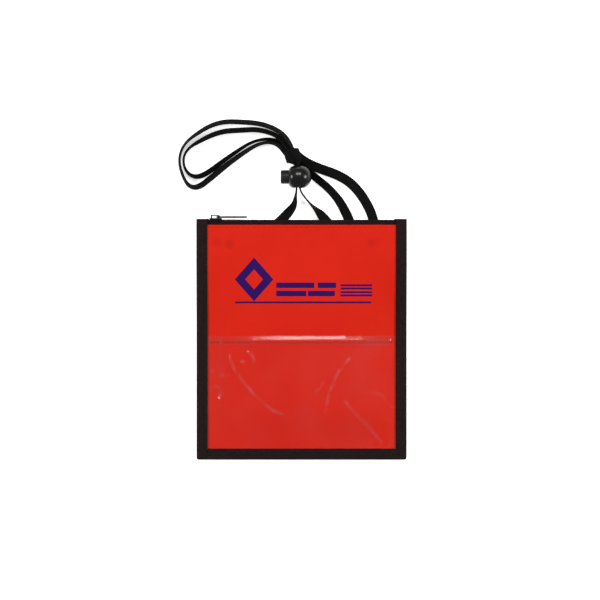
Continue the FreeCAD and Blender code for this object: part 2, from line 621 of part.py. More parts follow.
INNER_LOOP = [
    (SLOT_X, JOIN_Y, STRAND_HIGH), (SLOT_X, 111.0, STRAND_HIGH), (-9.6, 121.9, 7.6), (-16.6, 127.8, 4.4),
    (-25.6, 131.6, 1.6), (-36.2, 131.8, F), (-47.0, 131.8, F), (-57.2, 129.0, F), (-66.2, 123.6, F),
    (-72.8, 119.8, F), (-75.2, 112.2, F), (-73.2, 105.4, F), (-67.6, 101.4, F), (-60.4, 102.8, F),
    (-52.0, 109.8, F), (-42.4, 117.2, F), (-33.0, 123.8, F), (-24.4, 127.2, F), (-16.4, 126.4, F),
    (-9.2, 121.6, F), (-1.4, 114.6, F), (7.4, 109.2, F), (17.6, 105.2, F), (28.4, 100.2, F),
    (37.0, 91.6, F), (42.6, 82.6, F), (46.6, 74.4, F), (46.4, 66.8, F), (45.6, 60.2, F),
]


def cord_path(points):
    """Straight runs joined by tangent arcs, each as large as its two runs allow."""
    spots = [Vector(*point) for point in points]
    edges = []
    here = spots[0]
    radii = []
    for before, corner, after in zip(spots, spots[1:], spots[2:]):
        into = (corner - before).normalize()
        out = (after - corner).normalize()
        turn = into.getAngle(out)
        reach = 0.45 * min((corner - before).Length, (after - corner).Length)
        radii.append(reach / math.tan(turn / 2))
        first = corner - into * reach
        last = corner + out * reach
        inward = (out - into).normalize()
        middle = corner + inward * (radii[-1] / math.cos(turn / 2) - radii[-1])
        edges.append(Part.LineSegment(here, first).toShape())
        edges.append(Part.Arc(first, middle, last).toShape())
        here = last
    edges.append(Part.LineSegment(here, spots[-1]).toShape())
    return Part.Wire(edges), radii


def cord(label, points):
    path, radii = cord_path(points)
    start = Vector(*points[0])
    along = (Vector(*points[1]) - start).normalize()
    ring = Part.Wire(Part.Circle(start, along, CORD_R).toShape())
    tube = path.makePipeShell([ring], True, False, 1)
    share = tube.Volume / (math.pi * CORD_R ** 2 * path.Length)
    print(f"{label}: {path.Length:.1f} mm, smallest radius {min(radii):.1f} mm, volume share {share:.4f}")
    feature = doc.addObject("Part::Feature", label + "_tube")
    feature.Shape = tube
    keep(feature, label)
    return path.Length


cord_total = cord("cord_left_leg", LEFT_LEG)
cord_total += cord("cord_outer_loop", OUTER_LOOP)
cord_total += cord("cord_right_leg", RIGHT_LEG)
cord_total += cord("cord_inner_loop", INNER_LOOP)
print(f"neck cord, all four stretches: {cord_total:.1f} mm")

# The knot's outline from the front, above the lock.
KNOT_OUTLINE = [
    (-9.4, 119.3), (-2.8, 119.3), (-0.3, 114.2), (-1.0, 109.0), (-4.8, 109.0), (-8.6, 111.4), (-10.4, 113.6),
    (-10.4, 118.0),
]
KNOT_LOW, KNOT_TALL, KNOT_ROUND = 0.1, 10.8, 1.6
knot = new_body("cord_knot")
knot_sketch = new_sketch(knot, "knot_outline", "XY_Plane", str(KNOT_LOW))
corners = [Vector(x, y) for x, y in KNOT_OUTLINE]
for i, corner in enumerate(corners):
    knot_sketch.addGeometry(Part.LineSegment(corner, corners[(i + 1) % len(corners)]), False)
for i in range(len(corners)):
    knot_sketch.addConstraint(Sketcher.Constraint("Coincident", i, 2, (i + 1) % len(corners), 1))
knot_sketch.addConstraint([Sketcher.Constraint("Block", i) for i in range(len(corners))])
pad(knot, knot_sketch, "knot_bulk", str(KNOT_TALL))
knot_edges = [i for i, edge in enumerate(knot.Shape.Edges, start=1) if edge.BoundBox.ZLength < SAME]
dress(knot, "PartDesign::Chamfer", "knot_round", knot_edges, "Size", str(KNOT_ROUND))

# Bar tacks that sew the cord's ends to the back panel.
TACK_LOW = 0.3
for label, side in (("cord_tack_left", -1), ("cord_tack_right", 1)):
    tack = doc.addObject("Part::Box", label + "_block")
    tack.setExpression("Length", "Sheet.tack_wide")
    tack.setExpression("Width", "Sheet.tack_deep")
    tack.Height = back_under(cell("tack_along") + cell("tack_wide") / 2, cell("tack_above")) - TACK_LOW - 0.02
    tack.Placement = FreeCAD.Placement(
        Vector(side * cell("tack_along") - cell("tack_wide") / 2,
               cell("tack_above") - cell("tack_deep") / 2, TACK_LOW), FreeCAD.Rotation())
    keep(tack, label)

# ------------------------------------------------------------------ check and write
doc.recompute()
for obj in doc.Objects:
    if "Invalid" in obj.State or "Error" in obj.State:
        raise RuntimeError(f"{obj.Label} has failed: {obj.State}")
os.makedirs("parts", exist_ok=True)
for obj in parts:
    shape = obj.Shape
    if shape.isNull() or not shape.isValid():
        raise RuntimeError(obj.Label + " is not a valid shape")
    box = shape.BoundBox
    spans = [f"{low:7.2f} {high:7.2f}" for low, high in
             ((box.XMin, box.XMax), (box.YMin, box.YMax), (box.ZMin, box.ZMax))]
    print(f"{obj.Label:24s} {len(shape.Solids):3d} solids {shape.Volume:9.2f} mm3  " + "  ".join(spans))
for obj in parts:
    obj.Shape.exportStep(f"parts/{obj.Label}.step")
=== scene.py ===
# %% [markdown]
# A zipped badge holder on a neck cord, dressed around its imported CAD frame. The frame gives every place in
# metres, so a piece is modelled where it belongs and nothing has to be fitted afterwards. Lengths below are
# often easier to read in millimetres, so one small constant turns them into metres.

# %% The frame
import math

import bmesh
import bpy
from mathutils import Matrix, Vector, noise
from mathutils.bvhtree import BVHTree


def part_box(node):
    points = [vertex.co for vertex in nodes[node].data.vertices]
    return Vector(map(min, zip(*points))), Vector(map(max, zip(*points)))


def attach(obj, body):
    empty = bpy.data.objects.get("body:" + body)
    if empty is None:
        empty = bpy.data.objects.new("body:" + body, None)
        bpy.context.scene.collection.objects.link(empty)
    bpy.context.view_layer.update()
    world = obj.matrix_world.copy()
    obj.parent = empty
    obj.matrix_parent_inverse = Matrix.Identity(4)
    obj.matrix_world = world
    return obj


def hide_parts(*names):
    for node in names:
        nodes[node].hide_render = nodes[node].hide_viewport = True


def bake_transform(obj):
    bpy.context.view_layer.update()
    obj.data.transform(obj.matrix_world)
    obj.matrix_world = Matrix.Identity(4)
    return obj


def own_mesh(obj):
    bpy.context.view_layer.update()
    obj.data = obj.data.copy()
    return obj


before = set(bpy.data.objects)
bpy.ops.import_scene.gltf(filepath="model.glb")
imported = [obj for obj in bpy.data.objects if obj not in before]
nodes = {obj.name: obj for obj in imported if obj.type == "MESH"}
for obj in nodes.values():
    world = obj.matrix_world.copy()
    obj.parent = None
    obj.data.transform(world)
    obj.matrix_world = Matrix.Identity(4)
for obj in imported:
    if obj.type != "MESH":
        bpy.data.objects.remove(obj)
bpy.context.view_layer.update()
MM = 0.001

# %% [markdown]
# The camera looks straight down on the pouch. A long lens a good way off keeps the sides parallel. The floor
# is one pale plane, faintly luminous so that it stays white, and the light comes from two soft boxes low at
# the sides, one behind the zip and a pale sky. Low boxes leave the clear pocket free of a milky veil, because
# a flat sheet throws their light past the camera, and only folds and round things catch it.

# %% Camera, floor and light
CAMERA_HEIGHT = 1.6
POUCH_LEVEL = 0.005
VIEW_WIDE = 0.3794  # what the camera sees across at that level
SENSOR = 36.0
bpy.ops.object.select_all(action="DESELECT")
bpy.ops.object.camera_add(location=(-0.001, 0.0237, CAMERA_HEIGHT), rotation=(0, 0, 0))
camera = bpy.context.object
camera.name = "overhead_camera"
camera.data.sensor_width = SENSOR
camera.data.lens = SENSOR * (CAMERA_HEIGHT - POUCH_LEVEL) / VIEW_WIDE
bpy.context.scene.camera = camera
bpy.context.scene.view_settings.view_transform = "Standard"

bpy.ops.mesh.primitive_plane_add(size=4, location=(0, 0, -0.0002))
floor = bpy.context.object
floor.name = "pale_floor"


def soft_box(name, place, size, power):
    """A square area light at place that faces the middle of the object."""
    bpy.ops.object.light_add(type="AREA", location=place)
    lamp = bpy.context.object
    lamp.name = name
    lamp.data.size = size
    lamp.data.energy = power
    away = Vector(place) - Vector((0, 0.03, 0))
    lamp.rotation_euler = away.to_track_quat("Z", "Y").to_euler()


soft_box("box_left", (-0.84, 0.12, 0.57), 0.34, 7.0)
soft_box("box_right", (0.84, 0.12, 0.57), 0.34, 7.0)
soft_box("box_behind", (0.02, 0.68, 1.05), 0.36, 6.5)
sky = bpy.data.worlds.new("pale_sky")
bpy.context.scene.world = sky
sky.use_nodes = True
sky.node_tree.nodes["Background"].inputs["Color"].default_value = (1.0, 1.0, 1.0, 1.0)
sky.node_tree.nodes["Background"].inputs["Strength"].default_value = 0.30
print("camera lens", round(camera.data.lens, 1), "mm")

# %% [markdown]
# Every finish is a procedural material. Writing its maths node by node is slow to read, so one class wraps
# a socket and lets Python's own operators add the Math nodes, and another holds the material with its
# Principled shader. Numbers that are the same all over are set on the shader itself.

# %% Shader maths in plain Python
class Value:
    """A number that the shader works out at each point of a surface."""

    def __init__(self, finish, socket):
        self.finish = finish
        self.socket = socket

    def math(self, operation, *others):
        values = dict(enumerate((self,) + others))
        return self.finish.node("ShaderNodeMath", {"operation": operation}, values)

    def __add__(self, other):
        return self.math("ADD", other)

    def __mul__(self, other):
        return self.math("MULTIPLY", other)

    def __sub__(self, other):
        return self.math("SUBTRACT", other)

    def __rsub__(self, other):
        return self.finish.node("ShaderNodeMath", {"operation": "SUBTRACT"}, {0: other, 1: self})

    __radd__ = __add__
    __rmul__ = __mul__

    def wave(self, pitch):
        """A sine of this value that repeats every pitch."""
        return (self * (2 * math.pi / pitch)).math("SINE")

    def near(self, middle, reach):
        """1 where this value is within reach of middle, and 0 elsewhere."""
        return (self - middle).math("ABSOLUTE").math("LESS_THAN", reach)


class Finish:
    """A material with one Principled shader and a few ways to feed it."""

    def __init__(self, name, color, roughness, **constants):
        self.material = bpy.data.materials.new(name)
        self.material.use_nodes = True
        self.tree = self.material.node_tree
        self.shader = self.tree.nodes["Principled BSDF"]
        self.set("Base Color", (*color, 1.0))
        self.set("Roughness", roughness)
        for socket_name, number in constants.items():
            self.set(socket_name.replace("_", " "), number)

    def set(self, socket_name, value):
        socket = self.shader.inputs[socket_name]
        if isinstance(value, Value):
            self.tree.links.new(value.socket, socket)
        else:
            socket.default_value = value

    def node(self, kind, settings, values, output=0):
        """Adds a node, its settings first, then the values or links of its sockets."""
        made = self.tree.nodes.new(kind)
        for setting, choice in settings.items():
            setattr(made, setting, choice)
        for place, value in values.items():
            if isinstance(value, Value):
                self.tree.links.new(value.socket, made.inputs[place])
            else:
                made.inputs[place].default_value = value
        return Value(self, made.outputs[output])

    def place(self):
        """Object coordinates as three numbers, in metres."""
        spot = self.node("ShaderNodeTexCoord", {}, {}, "Object")
        return [self.node("ShaderNodeSeparateXYZ", {}, {0: spot}, i) for i in range(3)]

    def own_map(self):
        """The piece's own UV map as two numbers, in millimetres."""
        spot = self.node("ShaderNodeUVMap", {"uv_map": "weave_map"}, {})
        return [self.node("ShaderNodeSeparateXYZ", {}, {0: spot}, i) for i in range(2)]

    def clouds(self, grain, detail=3.0):
        """Soft noise from 0 to 1, with patches about grain metres across."""
        spot = self.node("ShaderNodeTexCoord", {}, {}, "Object")
        return self.node("ShaderNodeTexNoise", {}, {"Vector": spot, "Scale": 1 / grain, "Detail": detail})

    def between(self, share, first, last):
        """A colour that goes from first to last with share."""
        ends = [end if isinstance(end, Value) else (*end, 1.0) for end in (first, last)]
        return self.node("ShaderNodeMix", {"data_type": "RGBA"}, {0: share, 6: ends[0], 7: ends[1]}, 2)

    def tint(self, share, dark, light, rough):
        """Base colour from dark to light with share, and a roughness that varies too."""
        self.set("Base Color", self.between(share, dark, light))
        self.set("Roughness", rough)

    def relief(self, height, depth, strength):
        """Raises the surface by height times depth metres, through a Bump node."""
        values = {"Height": height, "Distance": depth, "Strength": strength}
        self.set("Normal", self.node("ShaderNodeBump", {}, values))


white = Finish("pale_matt_floor", (0.86, 0.86, 0.86), 0.85, Emission_Strength=0.55)
white.set("Emission Color", (1.0, 1.0, 1.0, 1.0))
white.set("Base Color", white.between(white.clouds(0.4), (0.855, 0.855, 0.855), (0.87, 0.87, 0.87)))
floor.data.materials.append(white.material)
print("shader helpers ready")

# %% [markdown]
# Each piece ends in the same way: its place goes into its mesh, so that its object sits at the origin like
# a CAD node, then it gets its name, its finish, the body that it rides on, and the CAD nodes that it stands
# for. The operators act on what is selected, so everything else is deselected first.

# %% How every piece is finished
def only(*pieces):
    """Selects these pieces and nothing else. The first is the active one."""
    bpy.ops.object.select_all(action="DESELECT")
    for piece in pieces:
        piece.select_set(True)
    bpy.context.view_layer.objects.active = pieces[0]


def apply_modifier(piece, kind, **settings):
    modifier = piece.modifiers.new(kind.lower(), kind)
    for setting, choice in settings.items():
        setattr(modifier, setting, choice)
    only(piece)
    bpy.ops.object.modifier_apply(modifier=modifier.name)


def join(*pieces):
    only(*pieces)
    bpy.ops.object.join()
    return pieces[0]


def settle(piece, name, finish, stands_for, sharp, body="root"):
    """Puts the place into the mesh, then names, shades, paints and hangs the piece."""
    only(piece)
    bpy.ops.object.transform_apply(location=True, rotation=True, scale=True)
    bpy.ops.object.shade_smooth_by_angle(angle=math.radians(sharp))
    piece.name = name
    piece.data.name = name
    piece.data.materials.clear()
    piece.data.materials.append(finish.material)
    if body:
        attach(piece, body)
    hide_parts(*stands_for)
    print(name, len(piece.data.polygons), "faces")
    return piece


def mesh_piece(name, points, faces):
    """An object made from points in metres and faces."""
    mesh = bpy.data.meshes.new(name)
    mesh.from_pydata(points, [], faces)
    mesh.update()
    piece = bpy.data.objects.new(name, mesh)
    bpy.context.collection.objects.link(piece)
    return piece


# %% [markdown]
# Four small jobs come back on many pieces: adding a primitive by itself, skinning rows of points, turning the
# faces outward and giving a piece a map of its own for its weave. Each is a helper.

# %% Jobs that come back
def primitive(kind, **settings):
    """A new primitive with nothing else selected."""
    bpy.ops.object.select_all(action="DESELECT")
    getattr(bpy.ops.mesh, "primitive_" + kind + "_add")(**settings)
    return bpy.context.object


def skin(rows, around, closed=False):
    """Faces between rows of around points each. Closed also joins the last row to the first."""
    faces = []
    for i in range(rows if closed else rows - 1):
        row, following = i * around, (i + 1) % rows * around
        for k in range(around):
            beside = (k + 1) % around
            faces.append((row + k, row + beside, following + beside, following + k))
    return faces


def face_outward(piece, weld=False):
    """Turns the faces outward, after merging points at the same place where weld is set."""
    only(piece)
    bpy.ops.object.mode_set(mode="EDIT")
    bpy.ops.mesh.select_all(action="SELECT")
    if weld:
        bpy.ops.mesh.remove_doubles(threshold=1e-7)
    bpy.ops.mesh.normals_make_consistent(inside=False)
    bpy.ops.object.mode_set(mode="OBJECT")
    return piece


def lay_map(piece, place_of):
    """Gives the piece its weave map: place_of(point's number) is a place in millimetres."""
    layer = piece.data.uv_layers.new(name="weave_map")
    for loop in piece.data.loops:
        layer.data[loop.index].uv = place_of(loop.vertex_index)


# %% [markdown]
# The neck cord is one flat woven cord, 6.2 mm wide and 1.1 mm thick. A flat cord can't bend sideways, so
# where it turns on the floor it stands on its edge, and where it is pinched in the lock it stands up as
# well. It could be a curve with a bevel, but a bevelled curve twists as it likes. Here two splines are read
# instead: one along the middle of the cord and one along its left edge. The second is worked out from the
# first and from a lean, given for each point: 0 lies flat, 90 stands on edge.

# %% The cord's finish
CORD_WIDE, CORD_THICK = 6.2 * MM, 1.1 * MM
cord_finish = Finish("flat_woven_cord", (0.005, 0.005, 0.005), 0.72, Specular_IOR_Level=0.03)
across, along = cord_finish.own_map()
braid = across.wave(0.86) * along.wave(1.15) + (across + along * 0.8).wave(1.3) * 0.5
worn = cord_finish.clouds(0.004)
cord_finish.tint(worn, (0.0020, 0.0020, 0.0020), (0.0070, 0.0068, 0.0064), worn * 0.25 + 0.58)
cord_finish.relief(braid + worn * 0.6, 0.00007, 0.8)


# %% Reading a route
SPLINE_STEPS = 9


def spline_points(control):
    """Points along a smooth spline with these control points."""
    data = bpy.data.curves.new("route", "CURVE")
    data.dimensions = "3D"
    data.resolution_u = SPLINE_STEPS
    spline = data.splines.new("NURBS")
    spline.points.add(len(control) - 1)
    for point, spot in zip(spline.points, control):
        point.co = (*spot, 1.0)
    spline.order_u = 3
    spline.use_endpoint_u = True
    holder = bpy.data.objects.new("route", data)
    bpy.context.collection.objects.link(holder)
    bpy.context.view_layer.update()
    mesh = bpy.data.meshes.new_from_object(holder)
    points = [vertex.co.copy() for vertex in mesh.vertices]
    bpy.data.objects.remove(holder)
    bpy.data.curves.remove(data)
    bpy.data.meshes.remove(mesh)
    return points


def left_edges(control, leans):
    """Control points of the line along the cord's left edge."""
    edges = []
    for i, (spot, lean) in enumerate(zip(control, leans)):
        ahead = control[min(i + 1, len(control) - 1)]
        behind = control[max(i - 1, 0)]
        way = Vector((ahead[0] - behind[0], ahead[1] - behind[1], 0)).normalized()
        side = Vector((-way.y, way.x, 0))
        turn = math.radians(lean)
        edges.append(Vector(spot) + (side * math.cos(turn) + Vector((0, 0, math.sin(turn)))) * CORD_WIDE / 2)
    return edges


# %% [markdown]
# The section of the cord is a flat strip with soft edges and six low ribs along it, which the weave of such
# a cord makes. It is carried along both splines, with a map in millimetres for the weave, and closed at its
# ends.

# %% From routes to ribbons
RIBS, ACROSS = 6, 18  # low ribs, and points on each face of the cord
SECTION = []
for face in (1, -1):
    for k in range(ACROSS):
        u = face * (1 - 2 * k / ACROSS)
        full = (1 - abs(u) ** 5) ** 0.5
        rib = 0.90 + 0.10 * math.cos(math.pi * RIBS * u)
        SECTION.append((u * CORD_WIDE / 2, face * CORD_THICK / 2 * full * rib))


def ribbon(name, middle, edge):
    """A closed ribbon along points in its middle, turned so that its width points at the edge line."""
    points, rows = [], []
    travelled = 0.0
    for i, spot in enumerate(middle):
        ahead = middle[min(i + 1, len(middle) - 1)]
        behind = middle[max(i - 1, 0)]
        way = (ahead - behind).normalized()
        wide = edge[i] - spot
        wide = (wide - way * wide.dot(way)).normalized()
        up = wide.cross(way)
        travelled += (spot - middle[max(i - 1, 0)]).length
        rows.append(travelled)
        points += [spot + wide * a + up * b for a, b in SECTION]
    count = len(SECTION)
    ends = [tuple(reversed(range(count))), tuple(range(len(points) - count, len(points)))]
    piece = mesh_piece(name, points, skin(len(middle), count) + ends)
    lay_map(piece, lambda i: (SECTION[i % count][0] / MM, rows[i // count] / MM))
    return face_outward(piece)


def length_of(points):
    return sum((b - a).length for a, b in zip(points, points[1:]))


# %% [markdown]
# The cord's four stretches. Each row is a point of the route in metres with its lean in degrees. The left
# leg starts at its tack behind the pouch, lies flat under it and rises on edge into the lock. The right leg
# lies under the pouch in one long loop first, and then rises beside the other.

# %% Routes of the two legs
LEFT_LEG = [
    (-0.0424, 0.0586, 0.0006, 0), (-0.0355, 0.0598, 0.0006, 0), (-0.0280, 0.0630, 0.0006, 0),
    (-0.0208, 0.0676, 0.0006, 0), (-0.0146, 0.0726, 0.0007, 0), (-0.0090, 0.0783, 0.0011, 14),
    (-0.0050, 0.0834, 0.0027, 48), (-0.0040, 0.0886, 0.0051, 80), (-0.0031, 0.0932, 0.0071, 90),
    (-0.00305, 0.0974, 0.0075, 90),
]
RIGHT_LEG = [
    (0.0336, 0.0626, 0.0006, 0), (0.0364, 0.0512, 0.0006, 0), (0.0354, 0.0364, 0.0006, 0),
    (0.0368, 0.0196, 0.0006, 0), (0.0352, 0.0020, 0.0006, 0), (0.0366, -0.0136, 0.0006, 0),
    (0.0356, -0.0250, 0.0006, 0), (0.0360, -0.0353, 0.0006, 0), (0.0308, -0.0406, 0.0006, 0),
    (0.0234, -0.0408, 0.0006, 0), (0.0182, -0.0355, 0.0006, 0), (0.0180, -0.0260, 0.0006, 0),
    (0.0190, -0.0120, 0.0006, 0), (0.0182, 0.0034, 0.0006, 0), (0.0196, 0.0198, 0.0006, 0),
    (0.0198, 0.0360, 0.0006, 0), (0.0188, 0.0504, 0.0006, 0), (0.0210, 0.0624, 0.0006, 0),
    (0.0184, 0.0706, 0.0006, 0), (0.0136, 0.0762, 0.0009, 8), (0.0092, 0.0808, 0.0028, 60),
    (0.0056, 0.0844, 0.0042, 84), (0.0022, 0.0884, 0.0059, 90), (-0.0009, 0.0926, 0.0072, 90),
    (-0.00175, 0.0974, 0.0075, 90),
]

# %% [markdown]
# The outer loop leaves the lock, goes through the knot, round the far end of the loop and back under the
# knot and the ball to the right side of the pouch. The inner loop runs beside it and ends at the right
# tack.

# %% Routes of the two loops
OUTER_LOOP = [
    (-0.00305, 0.0974, 0.0075, 90), (-0.00305, 0.1086, 0.0075, 90), (-0.0040, 0.1146, 0.0073, 88),
    (-0.0066, 0.1212, 0.0084, 64), (-0.0110, 0.1280, 0.0066, 60), (-0.0176, 0.1324, 0.0046, 58),
    (-0.0270, 0.1356, 0.0032, 56), (-0.0380, 0.1364, 0.0030, 56), (-0.0486, 0.1368, 0.0030, 58),
    (-0.0578, 0.1342, 0.0030, 60), (-0.0660, 0.1292, 0.00305, 64), (-0.0730, 0.1240, 0.0031, 74),
    (-0.0768, 0.1176, 0.0031, 78), (-0.0776, 0.1104, 0.0031, 78), (-0.0754, 0.1024, 0.0031, 76),
    (-0.0716, 0.0956, 0.0031, 68), (-0.0656, 0.0946, 0.0030, 56), (-0.0576, 0.1008, 0.0030, 56),
    (-0.0480, 0.1088, 0.0030, 60), (-0.0374, 0.1166, 0.0031, 66), (-0.0274, 0.1226, 0.0031, 76),
    (-0.0200, 0.1238, 0.0031, 78), (-0.0140, 0.1216, 0.0028, 66), (-0.0098, 0.1180, 0.0018, 36),
    (-0.0048, 0.1130, 0.00065, 4),
    (0.0028, 0.1064, 0.0025, 42), (0.0094, 0.1008, 0.0024, 40), (0.0164, 0.0952, 0.0022, 36),
    (0.0228, 0.0882, 0.0021, 33), (0.0270, 0.0812, 0.0014, 16), (0.0306, 0.0736, 0.0007, 2),
    (0.0336, 0.0626, 0.0006, 0),
]
INNER_LOOP = [
    (-0.00175, 0.0974, 0.0075, 90), (-0.00175, 0.1086, 0.0075, 90), (-0.0046, 0.1134, 0.0073, 88),
    (-0.0086, 0.1198, 0.0084, 64), (-0.0130, 0.1258, 0.0066, 60), (-0.0196, 0.1296, 0.0046, 58),
    (-0.0286, 0.1318, 0.0032, 56), (-0.0380, 0.1312, 0.0030, 54), (-0.0480, 0.1308, 0.0030, 54),
    (-0.0564, 0.1284, 0.0030, 56), (-0.0644, 0.1244, 0.0030, 62), (-0.0710, 0.1204, 0.0031, 74),
    (-0.0748, 0.1150, 0.0031, 80), (-0.0746, 0.1084, 0.0031, 80), (-0.0716, 0.1032, 0.0031, 74),
    (-0.0660, 0.1012, 0.0030, 64), (-0.0590, 0.1044, 0.0030, 60), (-0.0506, 0.1110, 0.00305, 66),
    (-0.0416, 0.1174, 0.0031, 72), (-0.0326, 0.1234, 0.0031, 80), (-0.0244, 0.1256, 0.0031, 80),
    (-0.0180, 0.1254, 0.0031, 74), (-0.0128, 0.1228, 0.0030, 56), (-0.0088, 0.1196, 0.0026, 26),
    (-0.0042, 0.1160, 0.0018, 4),
    (0.0026, 0.1108, 0.00175, 0), (0.0108, 0.1072, 0.0010, 4), (0.0210, 0.1038, 0.00065, 2),
    (0.0294, 0.0994, 0.00065, 2), (0.0358, 0.0932, 0.00065, 0), (0.0410, 0.0856, 0.0006, 0),
    (0.0452, 0.0766, 0.0006, 0), (0.0466, 0.0674, 0.0006, 0), (0.0456, 0.0602, 0.0006, 0),
]


def lay_cord(name, route):
    """Makes one stretch of the cord and returns its piece and the points that it follows."""
    spots = [Vector(row[:3]) for row in route]
    middle = spline_points(spots)
    edge = spline_points(left_edges(spots, [row[3] for row in route]))
    piece = ribbon(name, middle, edge)
    print(name, round(length_of(middle) / MM, 1), "mm long")
    return piece, middle


left_leg, left_line = lay_cord("cord_left_leg_ribbon", LEFT_LEG)
right_leg, right_line = lay_cord("cord_right_leg_ribbon", RIGHT_LEG)
outer_loop, outer_line = lay_cord("cord_outer_loop_ribbon", OUTER_LOOP)
inner_loop, inner_line = lay_cord("cord_inner_loop_ribbon", INNER_LOOP)

# %% [markdown]
# The two loops don't move. The two legs end in the lock, and when the lock slides towards the pouch the
# slack goes under the pouch. Here the legs get no body, and their place is baked into their mesh.

# %% The cord's bodies
for piece, node in ((left_leg, "cord_left_leg"), (right_leg, "cord_right_leg")):
    settle(piece, node + "_ribbon", cord_finish, body=None, stands_for=(node,), sharp=60)
    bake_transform(piece)
for piece, node in ((outer_loop, "cord_outer_loop"), (inner_loop, "cord_inner_loop")):
    settle(piece, node + "_ribbon", cord_finish, stands_for=(node,), sharp=60)

# %% [markdown]
# The pouch is soft, so its CAD sheets are only a guide to where the cloth lies. Each sheet here starts as a
# grid laid on the face of its CAD node: a ray dropped on that node gives the height at any place. Ripples,
# dimples and sewn edges are added to that height, and Solidify gives the cloth its thickness at the end.

# %% Reading heights off the frame
def surface_of(node):
    mesh = nodes[node].data
    corners = [vertex.co.copy() for vertex in mesh.vertices]
    return BVHTree.FromPolygons(corners, [tuple(face.vertices) for face in mesh.polygons])


def face_height(surface, x, y, from_above=True):
    """Height of a node's upper or lower face at a place, or None beside it."""
    start = Vector((x, y, 0.05 if from_above else -0.02))
    hit = surface.ray_cast(start, Vector((0, 0, -1 if from_above else 1)))[0]
    return hit.z if hit else None


def steps(low, high, pitch):
    """Even steps from low to high, or down from it, about pitch apart."""
    count = max(1, round(abs(high - low) / pitch))
    return [low + (high - low) * i / count for i in range(count + 1)]


def laid_sheet(xs, ys, height_at):
    """A grid whose columns and rows are moved to xs and ys, and up to height_at."""
    piece = primitive("grid", x_subdivisions=len(xs) - 1, y_subdivisions=len(ys) - 1, size=1)
    for vertex in piece.data.vertices:
        x = xs[round((vertex.co.x + 0.5) * (len(xs) - 1))]
        y = ys[round((vertex.co.y + 0.5) * (len(ys) - 1))]
        vertex.co = (x, y, height_at(x, y))
    return piece


def bell(distance, reach):
    """1 at no distance, fading smoothly to nothing over a few times reach."""
    return math.exp(-((distance / reach) ** 2))


def freedom(x, held_at, fade):
    """0 where the binding holds the sheet, at held_at from the middle, rising to 1 over fade inside that."""
    return min(1.0, max(0.0, (held_at - abs(x)) / fade))


panel_low, panel_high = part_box("front_panel")
INSET = 0.03 * MM
panel_xs = steps(panel_low.x + INSET, panel_high.x - INSET, 1.25 * MM)
print("front panel from", [round(v / MM, 1) for v in panel_low], "to", [round(v / MM, 1) for v in panel_high])

# %% [markdown]
# The red cloth is a plain woven polyester. Its threads are a fraction of a millimetre apart, so they are
# relief in the material: a sine across times a sine along gives the over and under of the weave. The dye is
# a little uneven. The print on the front is dark blue ink, here plain shapes: a diamond with a window and a
# few bars.

# %% The red cloth
THREAD_PITCH = 0.46 * MM
RED_DARK, RED_LIGHT = (0.440, 0.0088, 0.0026), (0.590, 0.0150, 0.0042)
INK = (0.012, 0.0015, 0.078)


def red_cloth(name):
    """A fresh red cloth finish, with its weave, and its coordinates for a print."""
    finish = Finish(name, RED_LIGHT, 0.72, Specular_IOR_Level=0.08)
    x, y, _ = finish.place()
    weave = x.wave(THREAD_PITCH * 2) * y.wave(THREAD_PITCH * 2)
    slub = finish.clouds(0.0016)
    patches = finish.clouds(0.035)
    finish.set("Roughness", slub * 0.2 + 0.58)
    finish.relief(weave * 0.5 + slub * 0.8, 0.00006, 0.7)
    cloth = finish.between(patches * 0.6 + weave * 0.12 + slub * 0.25, RED_DARK, RED_LIGHT)
    return finish, cloth, x, y


back_cloth, plain_red, _, _ = red_cloth("red_cloth_plain")
back_cloth.set("Base Color", plain_red)
front_cloth, printed_red, x, y = red_cloth("red_cloth_printed")

# %% The print
DIAMOND = (-0.0300, 0.0367, 0.0122, 0.0138)  # middle, half width, half height
diamond_far = (x - DIAMOND[0]).math("ABSOLUTE") * (1 / DIAMOND[2]) + \
    (y - DIAMOND[1]).math("ABSOLUTE") * (1 / DIAMOND[3])
ink = diamond_far.math("LESS_THAN", 1.0) - diamond_far.math("LESS_THAN", 0.46)
BARS = [  # middle x, middle y, half width, half height
    (-0.0040, 0.0330, 0.0120, 0.0017), (0.0160, 0.0330, 0.0058, 0.0017), (0.0346, 0.0330, 0.0100, 0.0006),
    (0.0346, 0.0310, 0.0100, 0.0006), (-0.0065, 0.0278, 0.0095, 0.0017), (0.0125, 0.0278, 0.0085, 0.0017),
    (0.0346, 0.0286, 0.0100, 0.0006), (0.0346, 0.0266, 0.0100, 0.0006), (0.0010, 0.0222, 0.0430, 0.0006),
]
for middle_x, middle_y, half_wide, half_tall in BARS:
    ink = ink + x.near(middle_x, half_wide) * y.near(middle_y, half_tall)
# Painted shade: the cloth's colour is darkened round the dimples that the tacks behind it press in, each as
# much as its depth.
DIMPLES = [(-0.0530, 0.0595, 0.28), (-0.0453, 0.0585, 0.42), (0.0439, 0.0591, 0.36), (0.0485, 0.0601, 0.15)]
dimple_painted_shade = 0.0
for spot_x, spot_y, depth in DIMPLES:
    far_x, far_y = x - spot_x, y - spot_y
    near_it = (1 - (far_x * far_x + far_y * far_y) * (1 / 0.0036 ** 2)).math("MAXIMUM", 0.0)
    dimple_painted_shade = near_it * depth + dimple_painted_shade
# Painted shade: a darker red is mixed into the cloth round the dimples.
printed_red = front_cloth.between(dimple_painted_shade * 0.9, printed_red, (0.300, 0.0062, 0.0020))
thin_ink = front_cloth.clouds(0.0007) * 0.04 + 0.965
front_cloth.set("Base Color", front_cloth.between(ink * thin_ink, printed_red, INK))
print("front and back cloth ready")

# %% [markdown]
# The front panel lies over the pouch's filling. Two kinds of waves ripple it, the cord's bar tacks behind
# it press small dimples into it near its top corners, and the row of stitches along the zip pulls it in a
# little.

